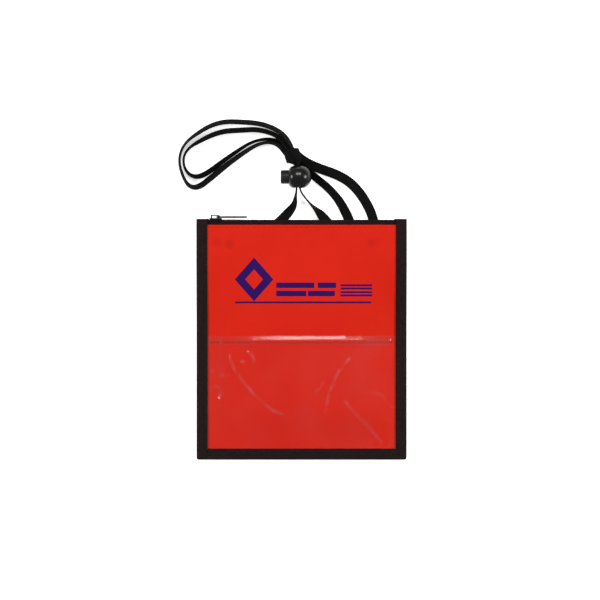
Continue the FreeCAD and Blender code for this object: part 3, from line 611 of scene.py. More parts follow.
# %% The front panel
front_face = surface_of("front_panel")
SEAM_ROW = sum(v.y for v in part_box("front_panel_stitching")) / 2
HEM_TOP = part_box("clear_pocket")[1].y
STITCH_PITCH = 3.3 * MM
CLOTH_HELD = (0.0594, 0.012)  # how far from the middle the binding holds the cloth, and the fade inside that
CLOTH_THICK = 0.35 * MM


def cloth_ripple(x, y):
    slow = noise.noise(Vector((x / 0.030, y / 0.021, 1.7))) * 0.30
    quick = noise.noise(Vector((x / 0.010, y / 0.013, 4.2))) * 0.07
    free = freedom(x, *CLOTH_HELD)
    under_vinyl = 0.35 if y < HEM_TOP else 0.35 + 0.65 * min(1.0, (y - HEM_TOP) / 0.012)
    ripple = (slow + quick) * free * under_vinyl
    for spot_x, spot_y, depth in DIMPLES:
        ripple -= 0.9 * depth * bell(math.hypot(x - spot_x, y - spot_y), 0.0026)
    ripple -= 0.10 * bell(y - SEAM_ROW, 0.0009) * (1.2 + math.cos(2 * math.pi * x / STITCH_PITCH)) / 2
    return ripple * MM


panel_ys = steps(panel_low.y + INSET, panel_high.y - 4 * MM, 1.25 * MM)
panel_ys += steps(panel_high.y - 3.7 * MM, panel_high.y - INSET, 0.35 * MM)
ROLL = 0.45 * MM


def front_height(x, y):
    """The cloth's upper face, which rolls over at the folded top edge."""
    to_edge = panel_high.y - y
    roll = ROLL * (1 - math.sqrt(max(0.0, 1 - (1 - to_edge / ROLL) ** 2))) if to_edge < ROLL else 0.0
    return face_height(front_face, x, y) + cloth_ripple(x, y) - roll


front_panel = laid_sheet(panel_xs, panel_ys, front_height)
apply_modifier(front_panel, "SOLIDIFY", thickness=CLOTH_THICK, offset=-1)
settle(front_panel, "front_panel_cloth", front_cloth, stands_for=["front_panel"], sharp=50)

# %% [markdown]
# The back panel is the same cloth, seen from behind, so its grid follows the lower face of its CAD node and
# the thickness goes up. It stays calm, because it lies on the cord and the floor.

# %% The back panel
back_face = surface_of("back_panel")


def back_height(x, y):
    free = freedom(x, *CLOTH_HELD)
    ripple = noise.noise(Vector((x / 0.026, y / 0.019, 7.3))) * 0.16 * free
    return face_height(back_face, x, y, from_above=False) + (0.16 * free + ripple) * MM


back_panel = laid_sheet(panel_xs, panel_ys, back_height)
apply_modifier(back_panel, "SOLIDIFY", thickness=CLOTH_THICK, offset=1)
settle(back_panel, "back_panel_cloth", back_cloth, stands_for=["back_panel"], sharp=50)

# %% [markdown]
# Clear vinyl shows what is behind it and mirrors a little of the light, more at a slant. Mixing a
# Transparent shader with a mirror by how far the surface turns away gives both. Creased vinyl goes white
# along the crease, which the sheet carries as its own point attribute, worked out from the same lines as
# the creases. Some scuffs and a haze make it less clear in places. Thin sheet needs no refraction, and this
# way the cloth behind it stays bright.

# %% The clear vinyl
vinyl = Finish("clear_vinyl", (0.93, 0.93, 0.93), 0.10, Metallic=1.0)
haze = vinyl.clouds(0.028, 2.0)
scuffs = vinyl.clouds(0.0022, 6.0)
whitened = vinyl.node("ShaderNodeAttribute", {"attribute_name": "crease"}, {}, "Fac")
vinyl.set("Roughness", haze * 0.10 + scuffs * 0.08 + whitened * 0.35 + 0.02)
vinyl.relief(vinyl.clouds(0.006, 2.0), 0.00035, 0.5)
facing = vinyl.node("ShaderNodeLayerWeight", {}, {"Blend": 0.5}, "Facing")
mirror_share = facing.math("POWER", 5.0) * 0.4 + haze.math("POWER", 3.0) * 0.05 + whitened * 0.26 + 0.008
clear = vinyl.tree.nodes.new("ShaderNodeBsdfTransparent")
clear.inputs["Color"].default_value = (1.0, 1.0, 1.0, 1.0)
both = vinyl.tree.nodes.new("ShaderNodeMixShader")
vinyl.tree.links.new(mirror_share.socket, both.inputs[0])
vinyl.tree.links.new(clear.outputs[0], both.inputs[1])
vinyl.tree.links.new(vinyl.shader.outputs[0], both.inputs[2])
vinyl.tree.links.new(both.outputs[0], vinyl.tree.nodes["Material Output"].inputs["Surface"])
print("vinyl ready")

# %% [markdown]
# Stitches are where the CAD says. The small solids of a stitching node are found again by joining its loose
# triangles and walking from face to face, and each one's box gives its middle and its direction. One stitch
# is shaped from a small ball, pulled long, with its ends bent down into the cloth, and then copied.

# %% Stitches
def solids_of(node):
    """The lowest and highest corner of each separate solid of a node."""
    shape = bmesh.new()
    shape.from_mesh(nodes[node].data)
    bmesh.ops.remove_doubles(shape, verts=shape.verts, dist=1e-6)
    left = set(shape.verts)
    boxes = []
    while left:
        front = [left.pop()]
        found = list(front)
        while front:
            for link in front.pop().link_edges:
                for other in link.verts:
                    if other in left:
                        left.remove(other)
                        front.append(other)
                        found.append(other)
        boxes.append((Vector([min(v.co[k] for v in found) for k in range(3)]),
                      Vector([max(v.co[k] for v in found) for k in range(3)])))
    shape.free()
    return sorted(boxes, key=lambda pair: (round(pair[0].y, 4), pair[0].x))


def one_stitch(length, thick):
    """The mesh of one stitch along X, as points and faces."""
    piece = primitive("uv_sphere", segments=10, ring_count=6, radius=0.5, rotation=(0, math.pi / 2, 0))
    bpy.ops.object.transform_apply(rotation=True)
    for vertex in piece.data.vertices:
        along_it = vertex.co.x * 2
        twist = 1 + 0.10 * math.sin(5 * along_it + 3 * math.atan2(vertex.co.z, vertex.co.y))
        vertex.co = (vertex.co.x * length, vertex.co.y * thick * twist,
                     vertex.co.z * thick * twist - thick * 0.45 * along_it ** 4)
    points = [vertex.co.copy() for vertex in piece.data.vertices]
    faces = [tuple(face.vertices) for face in piece.data.polygons]
    bpy.data.objects.remove(piece)
    return points, faces


def copies(points, faces, places):
    """Points and faces of a shape set at each of these matrices."""
    all_points, all_faces = [], []
    for place in places:
        start = len(all_points)
        all_points += [place @ point for point in points]
        all_faces += [tuple(start + i for i in face) for face in faces]
    return all_points, all_faces


def sewn_row(node, name, finish, drop=0.0, face_down=False):
    """The stitches of a CAD stitching node, each dropped by drop towards its cloth."""
    points, faces = one_stitch(2.5 * MM, 0.42 * MM)
    places = []
    for low, high in solids_of(node):
        middle = (low + high) / 2 - Vector((0, 0, drop))
        turned = Matrix.Rotation(math.pi / 2, 4, "Z") if high.y - low.y > high.x - low.x else Matrix()
        tipped = Matrix.Rotation(math.pi, 4, "X") if face_down else Matrix()
        places.append(Matrix.Translation(middle) @ turned @ tipped)
    piece = mesh_piece(name, *copies(points, faces, places))
    print(len(places), "stitches in", node)
    settle(piece, name, finish, stands_for=[node], sharp=60)


def thread(name, dark, light):
    finish = Finish(name, light, 0.6, Specular_IOR_Level=0.15)
    x, y, z = finish.place()
    ply = (x + y + z * 0.6).wave(0.34 * MM)
    finish.set("Base Color", finish.between(ply * 0.35 + finish.clouds(0.003) * 0.6, dark, light))
    finish.relief(ply, 0.00004, 0.8)
    return finish


red_thread = thread("red_sewing_thread", (0.34, 0.008, 0.004), (0.56, 0.020, 0.008))
black_thread = thread("black_sewing_thread", (0.004, 0.003, 0.003), (0.011, 0.008, 0.008))
sewn_row("front_panel_stitching", "front_seam_thread", red_thread, drop=0.26 * MM)
sewn_row("back_panel_stitching", "back_seam_thread", red_thread, drop=-0.24 * MM,
         face_down=True)

# %% [markdown]
# The vinyl's upper edge is folded back by 6 mm and sewn. Between that row of stitches and the edge the fold
# stands up and slopes down to the edge, and every stitch pulls a small pucker into it, which gives its
# highlight a scalloped edge. Below it, the stiff sheet keeps creases from handling, drawn here as short
# ridges along listed lines.

# %% Creases in the vinyl
pocket_low, pocket_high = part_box("clear_pocket")
pocket_face = surface_of("clear_pocket")
HEM_ROW = sum(v.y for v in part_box("pocket_hem_stitching")) / 2
HEM_DEEP = 6.0 * MM
VINYL_HELD = (0.0590, 0.004)  # as for the cloth
hem_boxes = solids_of("pocket_hem_stitching")
STITCH_START = (hem_boxes[0][0].x + hem_boxes[0][1].x) / 2 + STITCH_PITCH / 2
CREASES = [  # points in millimetres, height and half width in millimetres
    ([(-45, -11.5), (-43, -19), (-38, -26.5), (-29, -37), (-18, -46.5), (-10, -49)], 0.26, 0.85),
    ([(30, -13.5), (23, -22), (18, -34), (15, -46.5)], 0.26, 0.9),
    ([(-57, -21), (-50, -24), (-46.5, -24.5)], 0.24, 0.8),
    ([(-57, -32), (-53, -31), (-50, -36), (-52, -39)], 0.13, 0.8),
    ([(-35, -9), (-31, -12), (-30, -15)], 0.34, 0.8),
    ([(-38, -15), (-36, -16)], 0.30, 0.7),
    ([(26, -38), (33, -48), (41, -55), (50, -66)], 0.20, 1.1),
    ([(42, -34), (50, -36), (57, -44)], 0.12, 0.9),
    ([(9, -34), (12, -32), (14, -28)], 0.22, 0.7),
]


def crease_height(x, y):
    """Height of the ridges at a place, all in millimetres."""
    total = 0.0
    for line, tall, wide in CREASES:
        nearest = 99.0
        for (ax, ay), (bx, by) in zip(line, line[1:]):
            run = (bx - ax) ** 2 + (by - ay) ** 2
            t = min(1.0, max(0.0, ((x - ax) * (bx - ax) + (y - ay) * (by - ay)) / run))
            nearest = min(nearest, math.hypot(x - ax - t * (bx - ax), y - ay - t * (by - ay)))
        if nearest < 4 * wide:
            total += 2.2 * tall * bell(nearest, wide)
    return total


def vinyl_height(x, y):
    """Upper face of the vinyl's front ply."""
    base = face_height(pocket_face, min(max(x, pocket_low.x + INSET), pocket_high.x - INSET),
                       min(y, pocket_high.y - INSET))
    free = freedom(x, *VINYL_HELD)
    rise = 0.0
    if y < HEM_ROW:
        calm = min(1.0, (HEM_ROW - y) / 0.004)
        waves = noise.noise(Vector((x / 0.020, y / 0.024, 9.1))) * 0.30
        waves += noise.noise(Vector((x / 0.0065, y / 0.0085, 2.6))) * 0.05
        rise += (waves + crease_height(x / MM, y / MM)) * calm
    else:
        share = (y - HEM_ROW) / (pocket_high.y - HEM_ROW)
        up = min(1.0, share / 0.28)
        rise += 0.95 * up * up * (3 - 2 * up) - 1.0 * max(0.0, share - 0.28) / 0.72
    pucker = 0.5 + 0.5 * math.cos(2 * math.pi * (x - STITCH_START) / STITCH_PITCH)
    rise -= 0.26 * pucker * bell(y - HEM_ROW - 0.0004, 0.0011)
    return base + rise * free * MM


print(len(CREASES), "creases, pocket to", round(pocket_high.y / MM, 1), "mm")

# %% [markdown]
# The pocket's front ply is one grid, finer along the hem where the puckers are small.

# %% The clear pocket
pocket_xs = steps(pocket_low.x + INSET, pocket_high.x - INSET, 0.66 * MM)
pocket_ys = steps(pocket_low.y + INSET, HEM_ROW - 2.4 * MM, 1.1 * MM)
pocket_ys += steps(HEM_ROW - 2.1 * MM, pocket_high.y - INSET, 0.30 * MM)
pocket = laid_sheet(pocket_xs, pocket_ys, vinyl_height)
print("clear pocket", len(pocket_xs), "by", len(pocket_ys), "points")

# %% [markdown]
# The folded back ply of the hem is a second strip under the first. It ends at the fold, where the two edges
# are within a hair of each other, so bridging them closes the fold.

# %% The hem's back ply
UNDER = 0.30 * MM
hem_ys = steps(pocket_high.y - HEM_DEEP, pocket_high.y - INSET, 0.5 * MM)


def hem_under(x, y):
    base = face_height(pocket_face, x, min(y, pocket_high.y - INSET))
    return base - UNDER + 0.12 * MM * bell(y - pocket_high.y, 0.8 * MM)


hem = laid_sheet(pocket_xs, hem_ys, hem_under)
hem.data.flip_normals()
for sheet in (pocket, hem):
    creased = sheet.data.attributes.new("crease", "FLOAT", "POINT")
    for vertex in sheet.data.vertices:
        worn = crease_height(vertex.co.x / MM, vertex.co.y / MM) if sheet is pocket else 0.0
        patchy = 0.35 + 0.65 * noise.noise(vertex.co / 0.004 + Vector((2, 0, 5)))
        creased.data[vertex.index].value = min(1.0, worn) * max(0.0, patchy)
pocket = join(pocket, hem)
folded = bmesh.new()
folded.from_mesh(pocket.data)
rim = [edge for edge in folded.edges if edge.is_boundary
       and all(vertex.co.y > pocket_high.y - 0.05 * MM for vertex in edge.verts)]
bmesh.ops.bridge_loops(folded, edges=rim)
folded.to_mesh(pocket.data)
folded.free()
apply_modifier(pocket, "SOLIDIFY", thickness=0.20 * MM, offset=-1)
settle(pocket, "clear_pocket_sheet", vinyl, stands_for=["clear_pocket"], sharp=60)
sewn_row("pocket_hem_stitching", "hem_thread", red_thread, drop=0.06 * MM)

# %% [markdown]
# The edge binding is one woven tape folded over the raw edges. It is a closed U section carried down the
# left side, along the bottom and up the right side. Its upper and lower faces follow the CAD binding, so it
# hugs the thicker middle of the pouch. At the two lower corners the tape is folded on the diagonal, which
# shows as a step.

# %% The edge binding
binding_face = surface_of("edge_binding")
bind_low, bind_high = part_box("edge_binding")
TAPE_WIDE, TAPE_PLY = 7.2 * MM, 0.55 * MM
BIND_TOP = 73.6 * MM
tape_finish = Finish("woven_edge_tape", (0.015, 0.0095, 0.0095), 0.75, Specular_IOR_Level=0.04)
across, along = tape_finish.own_map()
twill = (across + along * 0.5).wave(0.52) * 0.6 + (along - across * 0.2).wave(0.43) * 0.4
lint = tape_finish.clouds(0.0025)
tape_finish.tint(lint + twill * 0.1, (0.0070, 0.0042, 0.0042), (0.0185, 0.0110, 0.0110), lint * 0.25 + 0.6)
tape_finish.relief(twill + lint * 0.8, 0.00007, 0.8)
print("binding", round(TAPE_WIDE / MM, 1), "mm wide on each face")

# %% [markdown]
# The tape's path is given once, from the top of the right side to the middle of the bottom, and mirrored for
# the left. At the corner its outer edge goes round in a fan, and its inner edge stays almost in one place.

# %% The binding's path
NO_FOLD = 9.0  # millimetres past a corner's fold where the tape lies flat again


def tape_path():
    """Places along the tape: its outer edge, its inner edge, and how far past a corner fold it is."""
    out_x, out_y = bind_high.x - 0.05 * MM, bind_low.y + 0.05 * MM
    in_x, in_y = bind_high.x - TAPE_WIDE, bind_low.y + TAPE_WIDE
    side = [((out_x, y), (in_x, y), NO_FOLD)
            for y in steps(bind_high.y - 0.1 * MM, in_y + 1.2 * MM, 1.3 * MM)]
    fan = [(out_x, out_y + 5 * MM), (out_x, out_y + 2.6 * MM), (out_x - 0.1 * MM, out_y + 0.8 * MM)]
    corner = [(spot, (in_x, in_y + (0.9 - 0.3 * i) * MM), NO_FOLD) for i, spot in enumerate(fan)]
    corner.append(((out_x - 0.4 * MM, out_y + 0.25 * MM), (in_x, in_y), 0.0))
    fan = [(out_x - 1.2 * MM, out_y), (out_x - 3.2 * MM, out_y), (out_x - 5.4 * MM, out_y)]
    corner += [(spot, (in_x - (0.3 + 0.3 * i) * MM, in_y), 0.5 + i) for i, spot in enumerate(fan)]
    bottom = [((x, out_y), (x, in_y), 4 + (in_x - x) / MM) for x in steps(in_x - 1.2 * MM, 0, 1.3 * MM)]
    right = side + corner + bottom
    left = [((-o[0], o[1]), (-i[0], i[1]), fold) for o, i, fold in reversed(right[:-1])]
    return right + left


def bind_height(x, y, from_above=True):
    """Height of the CAD binding, read a little inside its outline, where a ray is sure to meet it."""
    y = min(max(y, bind_low.y + 0.3 * MM), BIND_TOP)
    x = min(max(x, bind_low.x + 0.3 * MM), bind_high.x - 0.3 * MM)
    return face_height(binding_face, x, y, from_above)


# %% [markdown]
# At each place of the path, a ring of points goes along the upper face, round the rim and back along the
# lower face, and then back by the same way inside, one ply in. The rings are skinned like a tube.

# %% The binding's rings
# Places across the tape as shares of its width, 0 at the rim.
UPPER = [0.985, 0.93, 0.85, 0.72, 0.58, 0.44, 0.30, 0.18, 0.09, 0.035]
points, maps = [], []
travelled, last_middle = 0.0, None
path = tape_path()
for outer, inner, fold in path:
    out_spot, in_spot = Vector((*outer, 0)), Vector((*inner, 0))
    middle = (out_spot + in_spot) / 2
    travelled += (middle - last_middle).length if last_middle else 0
    last_middle = middle
    step_up = 0.30 * MM * max(0.0, 1 - fold / NO_FOLD) ** 1.5
    tops, floors = [], []
    for u in UPPER:
        # The tape's inner edge wanders a little, and the tape itself is gently uneven.
        drift = noise.noise(Vector((travelled / 0.011, 3.1 * u, 0.5))) * 0.10 * MM
        spot = out_spot.lerp(in_spot, u)
        inside = out_spot.lerp(in_spot, min(max(u, 0.06), 0.95))
        top = bind_height(inside.x, inside.y) + step_up * min(1.0, u * 3) + drift
        floor_z = bind_height(inside.x, inside.y, from_above=False)
        bulk = top - floor_z
        round_off = (1 - min(1.0, u / 0.10)) ** 2 * 0.34
        edge_off = 0.12 * MM if u > 0.97 else 0.0
        tops.append(spot + Vector((0, 0, top - bulk * round_off - edge_off)))
        floors.append(spot + Vector((0, 0, floor_z + bulk * round_off + edge_off)))
    rim = out_spot + Vector((0, 0, (tops[-1].z + floors[-1].z) / 2))
    ply = Vector((0, 0, TAPE_PLY))
    pull_in = (in_spot - out_spot).normalized() * TAPE_PLY
    ring = tops + [rim] + floors[::-1]
    ring += [spot + ply for spot in floors[:-1]] + [rim + pull_in * 1.4]
    ring += [spot - ply for spot in tops[-2::-1]]
    ring_across = UPPER + [0.0] + [-u for u in reversed(UPPER)] + [-u for u in UPPER[:-1]] + [0.0]
    ring_across += UPPER[-2::-1]
    points += ring
    maps += [(share * TAPE_WIDE / MM, travelled / MM) for share in ring_across]
size = len(ring)
faces = skin(len(path), size)
print(len(path), "rings of", size, "points,", round(travelled / MM), "mm of tape")

# %% [markdown]
# Each end of the tape is closed by a strip of faces between the outer skin and the inner one, which has a
# single point inside the rim where the outer skin has three.

# %% The binding's ends
many = len(UPPER)
facing_pairs = [(k, size - 1 - k) for k in range(many - 1)]
facing_pairs += [(k, 3 * many) for k in range(many - 1, many + 2)]
facing_pairs += [(k, 4 * many + 1 - k) for k in range(many + 2, 2 * many + 1)]
for start in (0, (len(path) - 1) * size):
    for (a, inner_a), (b, inner_b) in zip(facing_pairs, facing_pairs[1:]):
        corners = (a, b, inner_b, inner_a) if inner_a != inner_b else (a, b, inner_b)
        faces.append(tuple(start + corner for corner in corners))
binding = mesh_piece("edge_binding_tape", points, faces)
lay_map(binding, lambda i: maps[i])
face_outward(binding)
settle(binding, "edge_binding_tape", tape_finish, stands_for=["edge_binding"], sharp=50)
sewn_row("binding_stitching", "binding_thread", black_thread, drop=0.16 * MM)

# %% [markdown]
# The zip's two tapes are woven, and their outer edges are sewn over the coils, so they are a little rough.
# Each tape is a thin grid that follows its CAD strip.

# %% The zip's tapes
zip_tape = Finish("woven_zip_tape", (0.012, 0.008, 0.008), 0.8, Specular_IOR_Level=0.04)
x, y, _ = zip_tape.place()
tape_weave = x.wave(0.0005) * 0.4 + y.wave(0.0007) * 0.6
tape_lint = zip_tape.clouds(0.0012)
zip_tape.tint(tape_lint + tape_weave * 0.1, (0.004, 0.0026, 0.0026), (0.015, 0.0095, 0.0095),
              tape_lint * 0.2 + 0.65)
zip_tape.relief(tape_weave + tape_lint, 0.00008, 0.8)
for node, side in (("zipper_tape_front", 1), ("zipper_tape_back", -1)):
    low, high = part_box(node)
    top_z, low_z = high.z - 0.02 * MM, low.z + 0.02 * MM

    def tape_height(x, y):
        wave = noise.noise(Vector((x / 0.012, y / 0.008, side * 5.0))) * 0.04 * MM
        curl = 0.20 * MM * max(0.0, 1 - (high.y - y) / (1.2 * MM)) ** 2
        return top_z - curl - 0.05 * MM + wave if side > 0 else low_z + curl + 0.05 * MM + wave

    tape_ys = steps(low.y, high.y - 3 * MM, 2 * MM) + steps(high.y - 2.6 * MM, high.y, 0.4 * MM)
    tape = laid_sheet(steps(low.x + INSET, high.x - INSET, 0.8 * MM), tape_ys, tape_height)
    for vertex in tape.data.vertices:
        if vertex.co.y > high.y - 0.5 * MM:
            vertex.co.y += noise.noise(Vector((vertex.co.x / 0.0016, side * 2.0, 0))) * 0.14 * MM
    apply_modifier(tape, "SOLIDIFY", thickness=0.28 * MM, offset=-side)
    settle(tape, node + "_weave", zip_tape, stands_for=[node], sharp=50)

# %% [markdown]
# A coil zip has two rows of nylon loops that hook into each other. One loop is a flattened ring across the
# zip's line. It is repeated along each row, with the rows half a pitch apart. Small heads between the rows
# hold them together. When the slider runs to its open end the heads gather in front of it; here they are a
# piece of their own, with a mesh of its own. At both ends the loops stand back to let the
# slider's post in.

# %% The zip's coils
nylon = Finish("nylon_coil", (0.012, 0.012, 0.013), 0.38, Specular_IOR_Level=0.4)
nylon.tint(nylon.clouds(0.006), (0.007, 0.007, 0.008), (0.016, 0.016, 0.017), nylon.clouds(0.002) * 0.2 + 0.3)
TOOTH_PITCH = 1.3 * MM
POST_LONG = (-58.6 * MM, -55.0 * MM)  # where the slider's post stands between the rows when it is closed
TRAVEL = 108 * MM
HEADS_FROM = -49.6 * MM  # just ahead of the closed slider
LOOP_TUBE = 0.33  # the loop's tube, when the middle of its ring has radius 1
loop_piece = primitive("torus", major_segments=14, minor_segments=6, major_radius=1.0,
                       minor_radius=LOOP_TUBE, rotation=(0, math.radians(82), 0))
bpy.ops.object.transform_apply(rotation=True)
loop_points = [vertex.co.copy() for vertex in loop_piece.data.vertices]
loop_faces = [tuple(face.vertices) for face in loop_piece.data.polygons]
bpy.data.objects.remove(loop_piece)
for node, side in (("zipper_coil_front", 1), ("zipper_coil_back", -1)):
    low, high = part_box(node)
    middle = (low + high) / 2
    deep, wide = (high.y - low.y) / 2 / (1 + LOOP_TUBE), (high.z - low.z) / 2 / (1 + LOOP_TUBE)
    first = low.x + 0.5 * MM + (TOOTH_PITCH / 2 if side < 0 else 0)
    places = []
    while first < high.x - 0.5 * MM:
        parted = first < POST_LONG[1] or POST_LONG[0] + TRAVEL < first < POST_LONG[1] + TRAVEL
        spot = Vector((first, middle.y, middle.z + side * (0.26 * MM if parted else 0)))
        narrow = wide * (0.72 if parted else 1)
        places.append(Matrix.Translation(spot) @ Matrix.Diagonal((0.9 * MM, deep, narrow, 1)))
        first += TOOTH_PITCH
    coil = mesh_piece(node, *copies(loop_points, loop_faces, places))
    print(len(places), "loops in", node)
    settle(coil, node + "_loops", nylon, stands_for=[node], sharp=60)

# %% The closed heads of the zip
head_low, head_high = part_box("zipper_coil_front")
zip_middle = (head_low.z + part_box("zipper_coil_back")[1].z) / 2
head_points, head_faces = one_stitch(0.62 * MM, 0.9 * MM)
places = []
for k, along_zip in enumerate(steps(HEADS_FROM, head_high.x - 1.6 * MM, TOOTH_PITCH / 2)):
    up_down = (0.05 if k % 2 else -0.05) * MM
    spot = Vector((along_zip, (head_low.y + head_high.y) / 2 + 0.2 * MM, zip_middle + up_down))
    places.append(Matrix.Translation(spot))
heads = mesh_piece("heads", *copies(head_points, head_faces, places))
settle(heads, "zipper_closed_heads", nylon,
       stands_for=["zipper_coil_front", "zipper_coil_back"], sharp=60)
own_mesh(heads)

# %% [markdown]
# The slider, the pull and the end stops are die cast and enamelled black, with soft edges where the enamel
# pools. They are built from beveled boxes, joined with Boolean unions so that no face is left inside. The
# pull is one plate with a rectangular window that hangs on the slider's loop.

# %% Small metal parts
enamel = Finish("black_enamel", (0.006, 0.006, 0.006), 0.4, Specular_IOR_Level=0.08)
dull = enamel.clouds(0.0018)
enamel.tint(enamel.clouds(0.004), (0.0025, 0.0025, 0.0025), (0.008, 0.0075, 0.0075), dull * 0.25 + 0.30)
enamel.relief(dull, 0.00004, 0.5)


def plate(low, high, edge=0.0):
    """A box between two corners in millimetres, with its edges rounded."""
    low, high = Vector(low), Vector(high)
    piece = primitive("cube", size=1, location=(low + high) / 2 * MM)
    piece.scale = (high - low) * MM
    bpy.ops.object.transform_apply(location=True, scale=True)
    if edge:
        apply_modifier(piece, "BEVEL", width=edge * MM, segments=3, limit_method="ANGLE")
    return piece


def cut(piece, tool, operation="DIFFERENCE"):
    """Applies a Boolean with the tool and removes the tool."""
    apply_modifier(piece, "BOOLEAN", object=tool, operation=operation, solver="EXACT")
    bpy.data.objects.remove(tool)


# %% [markdown]
# The slider is two plates, one outside the coils and one inside, joined by a post between the rows. Its outer
# plate has a wall at each side and a lug with an eye for the pull.

# %% The slider
low, high = (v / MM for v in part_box("zipper_slider"))
middle_x, middle_z = (low.x + high.x) / 2, (low.z + high.z) / 2
OUTER_PLATE, OUTER_MIDDLE = (74.6, 75.4), 75.0  # along Y, in millimetres, like the next line
WALL_FOOT, POST_FOOT, INNER_PLATE_TOP = 73.45, 71.7, 72.28
slider = plate((low.x, OUTER_PLATE[0], low.z), (high.x, OUTER_PLATE[1], high.z), 0.3)
for part_low, part_high, edge in (  # two walls, the post, the inner plate and the lug
    ((low.x + 0.4, WALL_FOOT, low.z + 0.02), (high.x - 0.4, OUTER_MIDDLE, low.z + 0.53), 0.16),
    ((low.x + 0.4, WALL_FOOT, high.z - 0.53), (high.x - 0.4, OUTER_MIDDLE, high.z - 0.02), 0.16),
    ((low.x + 0.62, POST_FOOT, middle_z - 0.48), (low.x + 2.58, OUTER_MIDDLE, middle_z + 0.48), 0.15),
    ((low.x + 0.62, low.y, middle_z - 1.83), (high.x - 0.62, INNER_PLATE_TOP, middle_z + 1.83), 0.25),
    ((middle_x - 3.05, OUTER_MIDDLE, middle_z - 0.58), (middle_x + 2.65, high.y - 0.02, middle_z + 0.58),
     0.32),
):
    cut(slider, plate(part_low, part_high, edge), "UNION")
eye = plate((middle_x - 2.15, 75.42, middle_z - 2), (middle_x + 1.75, high.y - 0.66, middle_z + 2), 0.25)
cut(slider, eye)
settle(slider, "zipper_slider_body", enamel, body="slider", stands_for=["zipper_slider"],
       sharp=35)

# %% [markdown]
# The pull's far corners are rounder than those at the slider, so the two pairs are beveled apart.

# %% The pull and the end stops
low, high = (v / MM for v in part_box("zipper_pull"))
middle_z = (low.z + high.z) / 2
pull = plate(low, high)
blade = bmesh.new()
blade.from_mesh(pull.data)
corners = [edge for edge in blade.edges if abs(edge.verts[0].co.y - edge.verts[1].co.y) > 0.5 * MM]
tips = [edge for edge in corners if edge.verts[0].co.x > 0.5 * (low.x + high.x) * MM]
roots = [edge for edge in corners if edge not in tips]
for edges, offset, segments in ((tips, 1.6 * MM, 6), (roots, 0.8 * MM, 4)):
    bmesh.ops.bevel(blade, geom=edges, offset=offset, segments=segments, profile=0.5, affect="EDGES")
blade.to_mesh(pull.data)
blade.free()
cut(pull, plate((low.x + 0.9, low.y - 1, middle_z - 1.1), (low.x + 5.05, high.y + 1, middle_z + 1.1)))
apply_modifier(pull, "BEVEL", width=0.22 * MM, segments=3, limit_method="ANGLE", angle_limit=math.radians(40))
settle(pull, "zipper_pull_blade", enamel, body="pull", stands_for=["zipper_pull"], sharp=40)

for node in ("zipper_end_stop_left", "zipper_end_stop_right"):
    low, high = (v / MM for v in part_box(node))
    stop = plate(low, high, 0.2)
    groove = plate((low.x - 1, high.y - 0.14, (low.z + high.z) / 2 - 0.2),
                   (high.x + 1, high.y + 1, (low.z + high.z) / 2 + 0.2))
    cut(stop, groove)
    settle(stop, node + "_clip", enamel, stands_for=[node], sharp=35)

# %% [markdown]
# The cord lock is a hollow ball with a button that slides into it. Both are turned shapes, so each is a
# profile in millimetres, spun about X round the lock's middle. The ball is fuller on the side of its
# button, where it ends in a flat ring, and it has two flat faces where the cord goes through a slot.
# Moulded plastic of this kind is glossy, with scratches too fine to see except as a softer highlight.

# %% The cord lock
LOCK = Vector((-1.1, 101.4, 7.45)) * MM
gloss = Finish("glossy_black_moulding", (0.006, 0.006, 0.006), 0.2, Specular_IOR_Level=0.28)
scratches = gloss.clouds(0.0009, 6.0)
gloss.tint(gloss.clouds(0.006), (0.003, 0.003, 0.003), (0.008, 0.0075, 0.007), scratches * 0.14 + 0.16)
gloss.relief(gloss.clouds(0.0035), 0.00005, 0.3)
satin = Finish("satin_black_moulding", (0.009, 0.009, 0.009), 0.4, Specular_IOR_Level=0.2)
grain = satin.clouds(0.0004)
satin.tint(satin.clouds(0.005), (0.007, 0.007, 0.007), (0.014, 0.014, 0.014), grain * 0.2 + 0.34)
satin.relief(grain, 0.00003, 0.6)


def turned(profile, around=72):
    """A closed solid spun about X round the lock's middle from (along, radius) pairs in millimetres."""
    points = []
    for along, radius in profile:
        for k in range(around):
            angle = 2 * math.pi * k / around
            points.append(LOCK + Vector((along, radius * math.cos(angle), radius * math.sin(angle))) * MM)
    return face_outward(mesh_piece("turned", points, skin(len(profile), around, closed=True)), weld=True)


def lock_box(x_low, x_high, half_y, half_z):
    """A box round the lock's middle, for cutting, in millimetres."""
    middle = LOCK / MM
    return plate((middle.x + x_low, middle.y - half_y, middle.z - half_z),
                 (middle.x + x_high, middle.y + half_y, middle.z + half_z))


# %% [markdown]
# The ball's profile runs from the bottom of its bore to the flat ring round the button, over the full side
# and back over a plain half circle. Two flats and the cord's slot are cut after the spin.

# %% The ball
BALL = 7.4
profile = [(5.2, 0.0), (5.2, 4.2), (5.0, 4.45), (-6.6, 4.45), (-6.8, 4.55), (-6.88, 4.75)]
for k in range(18):
    along_ball = -6.86 * (1 - k / 18) ** 0.8
    profile.append((along_ball, BALL * (1 - (-along_ball / 7.6) ** 3.2) ** (1 / 3.2)))
for k in range(29):
    angle = math.pi / 2 * (1 - k / 28)
    profile.append((BALL * math.cos(angle), BALL * math.sin(angle)))
ball = turned(profile)
cut(ball, lock_box(-12, 12, 7.0, 12), "INTERSECT")
cut(ball, lock_box(-2.8, 0.2, 12, 3.3))
apply_modifier(ball, "BEVEL", width=0.22 * MM, segments=2, limit_method="ANGLE", angle_limit=math.radians(42))
settle(ball, "cord_lock_ball", gloss, body="cord_lock", stands_for=["cord_lock_body"],
       sharp=35)

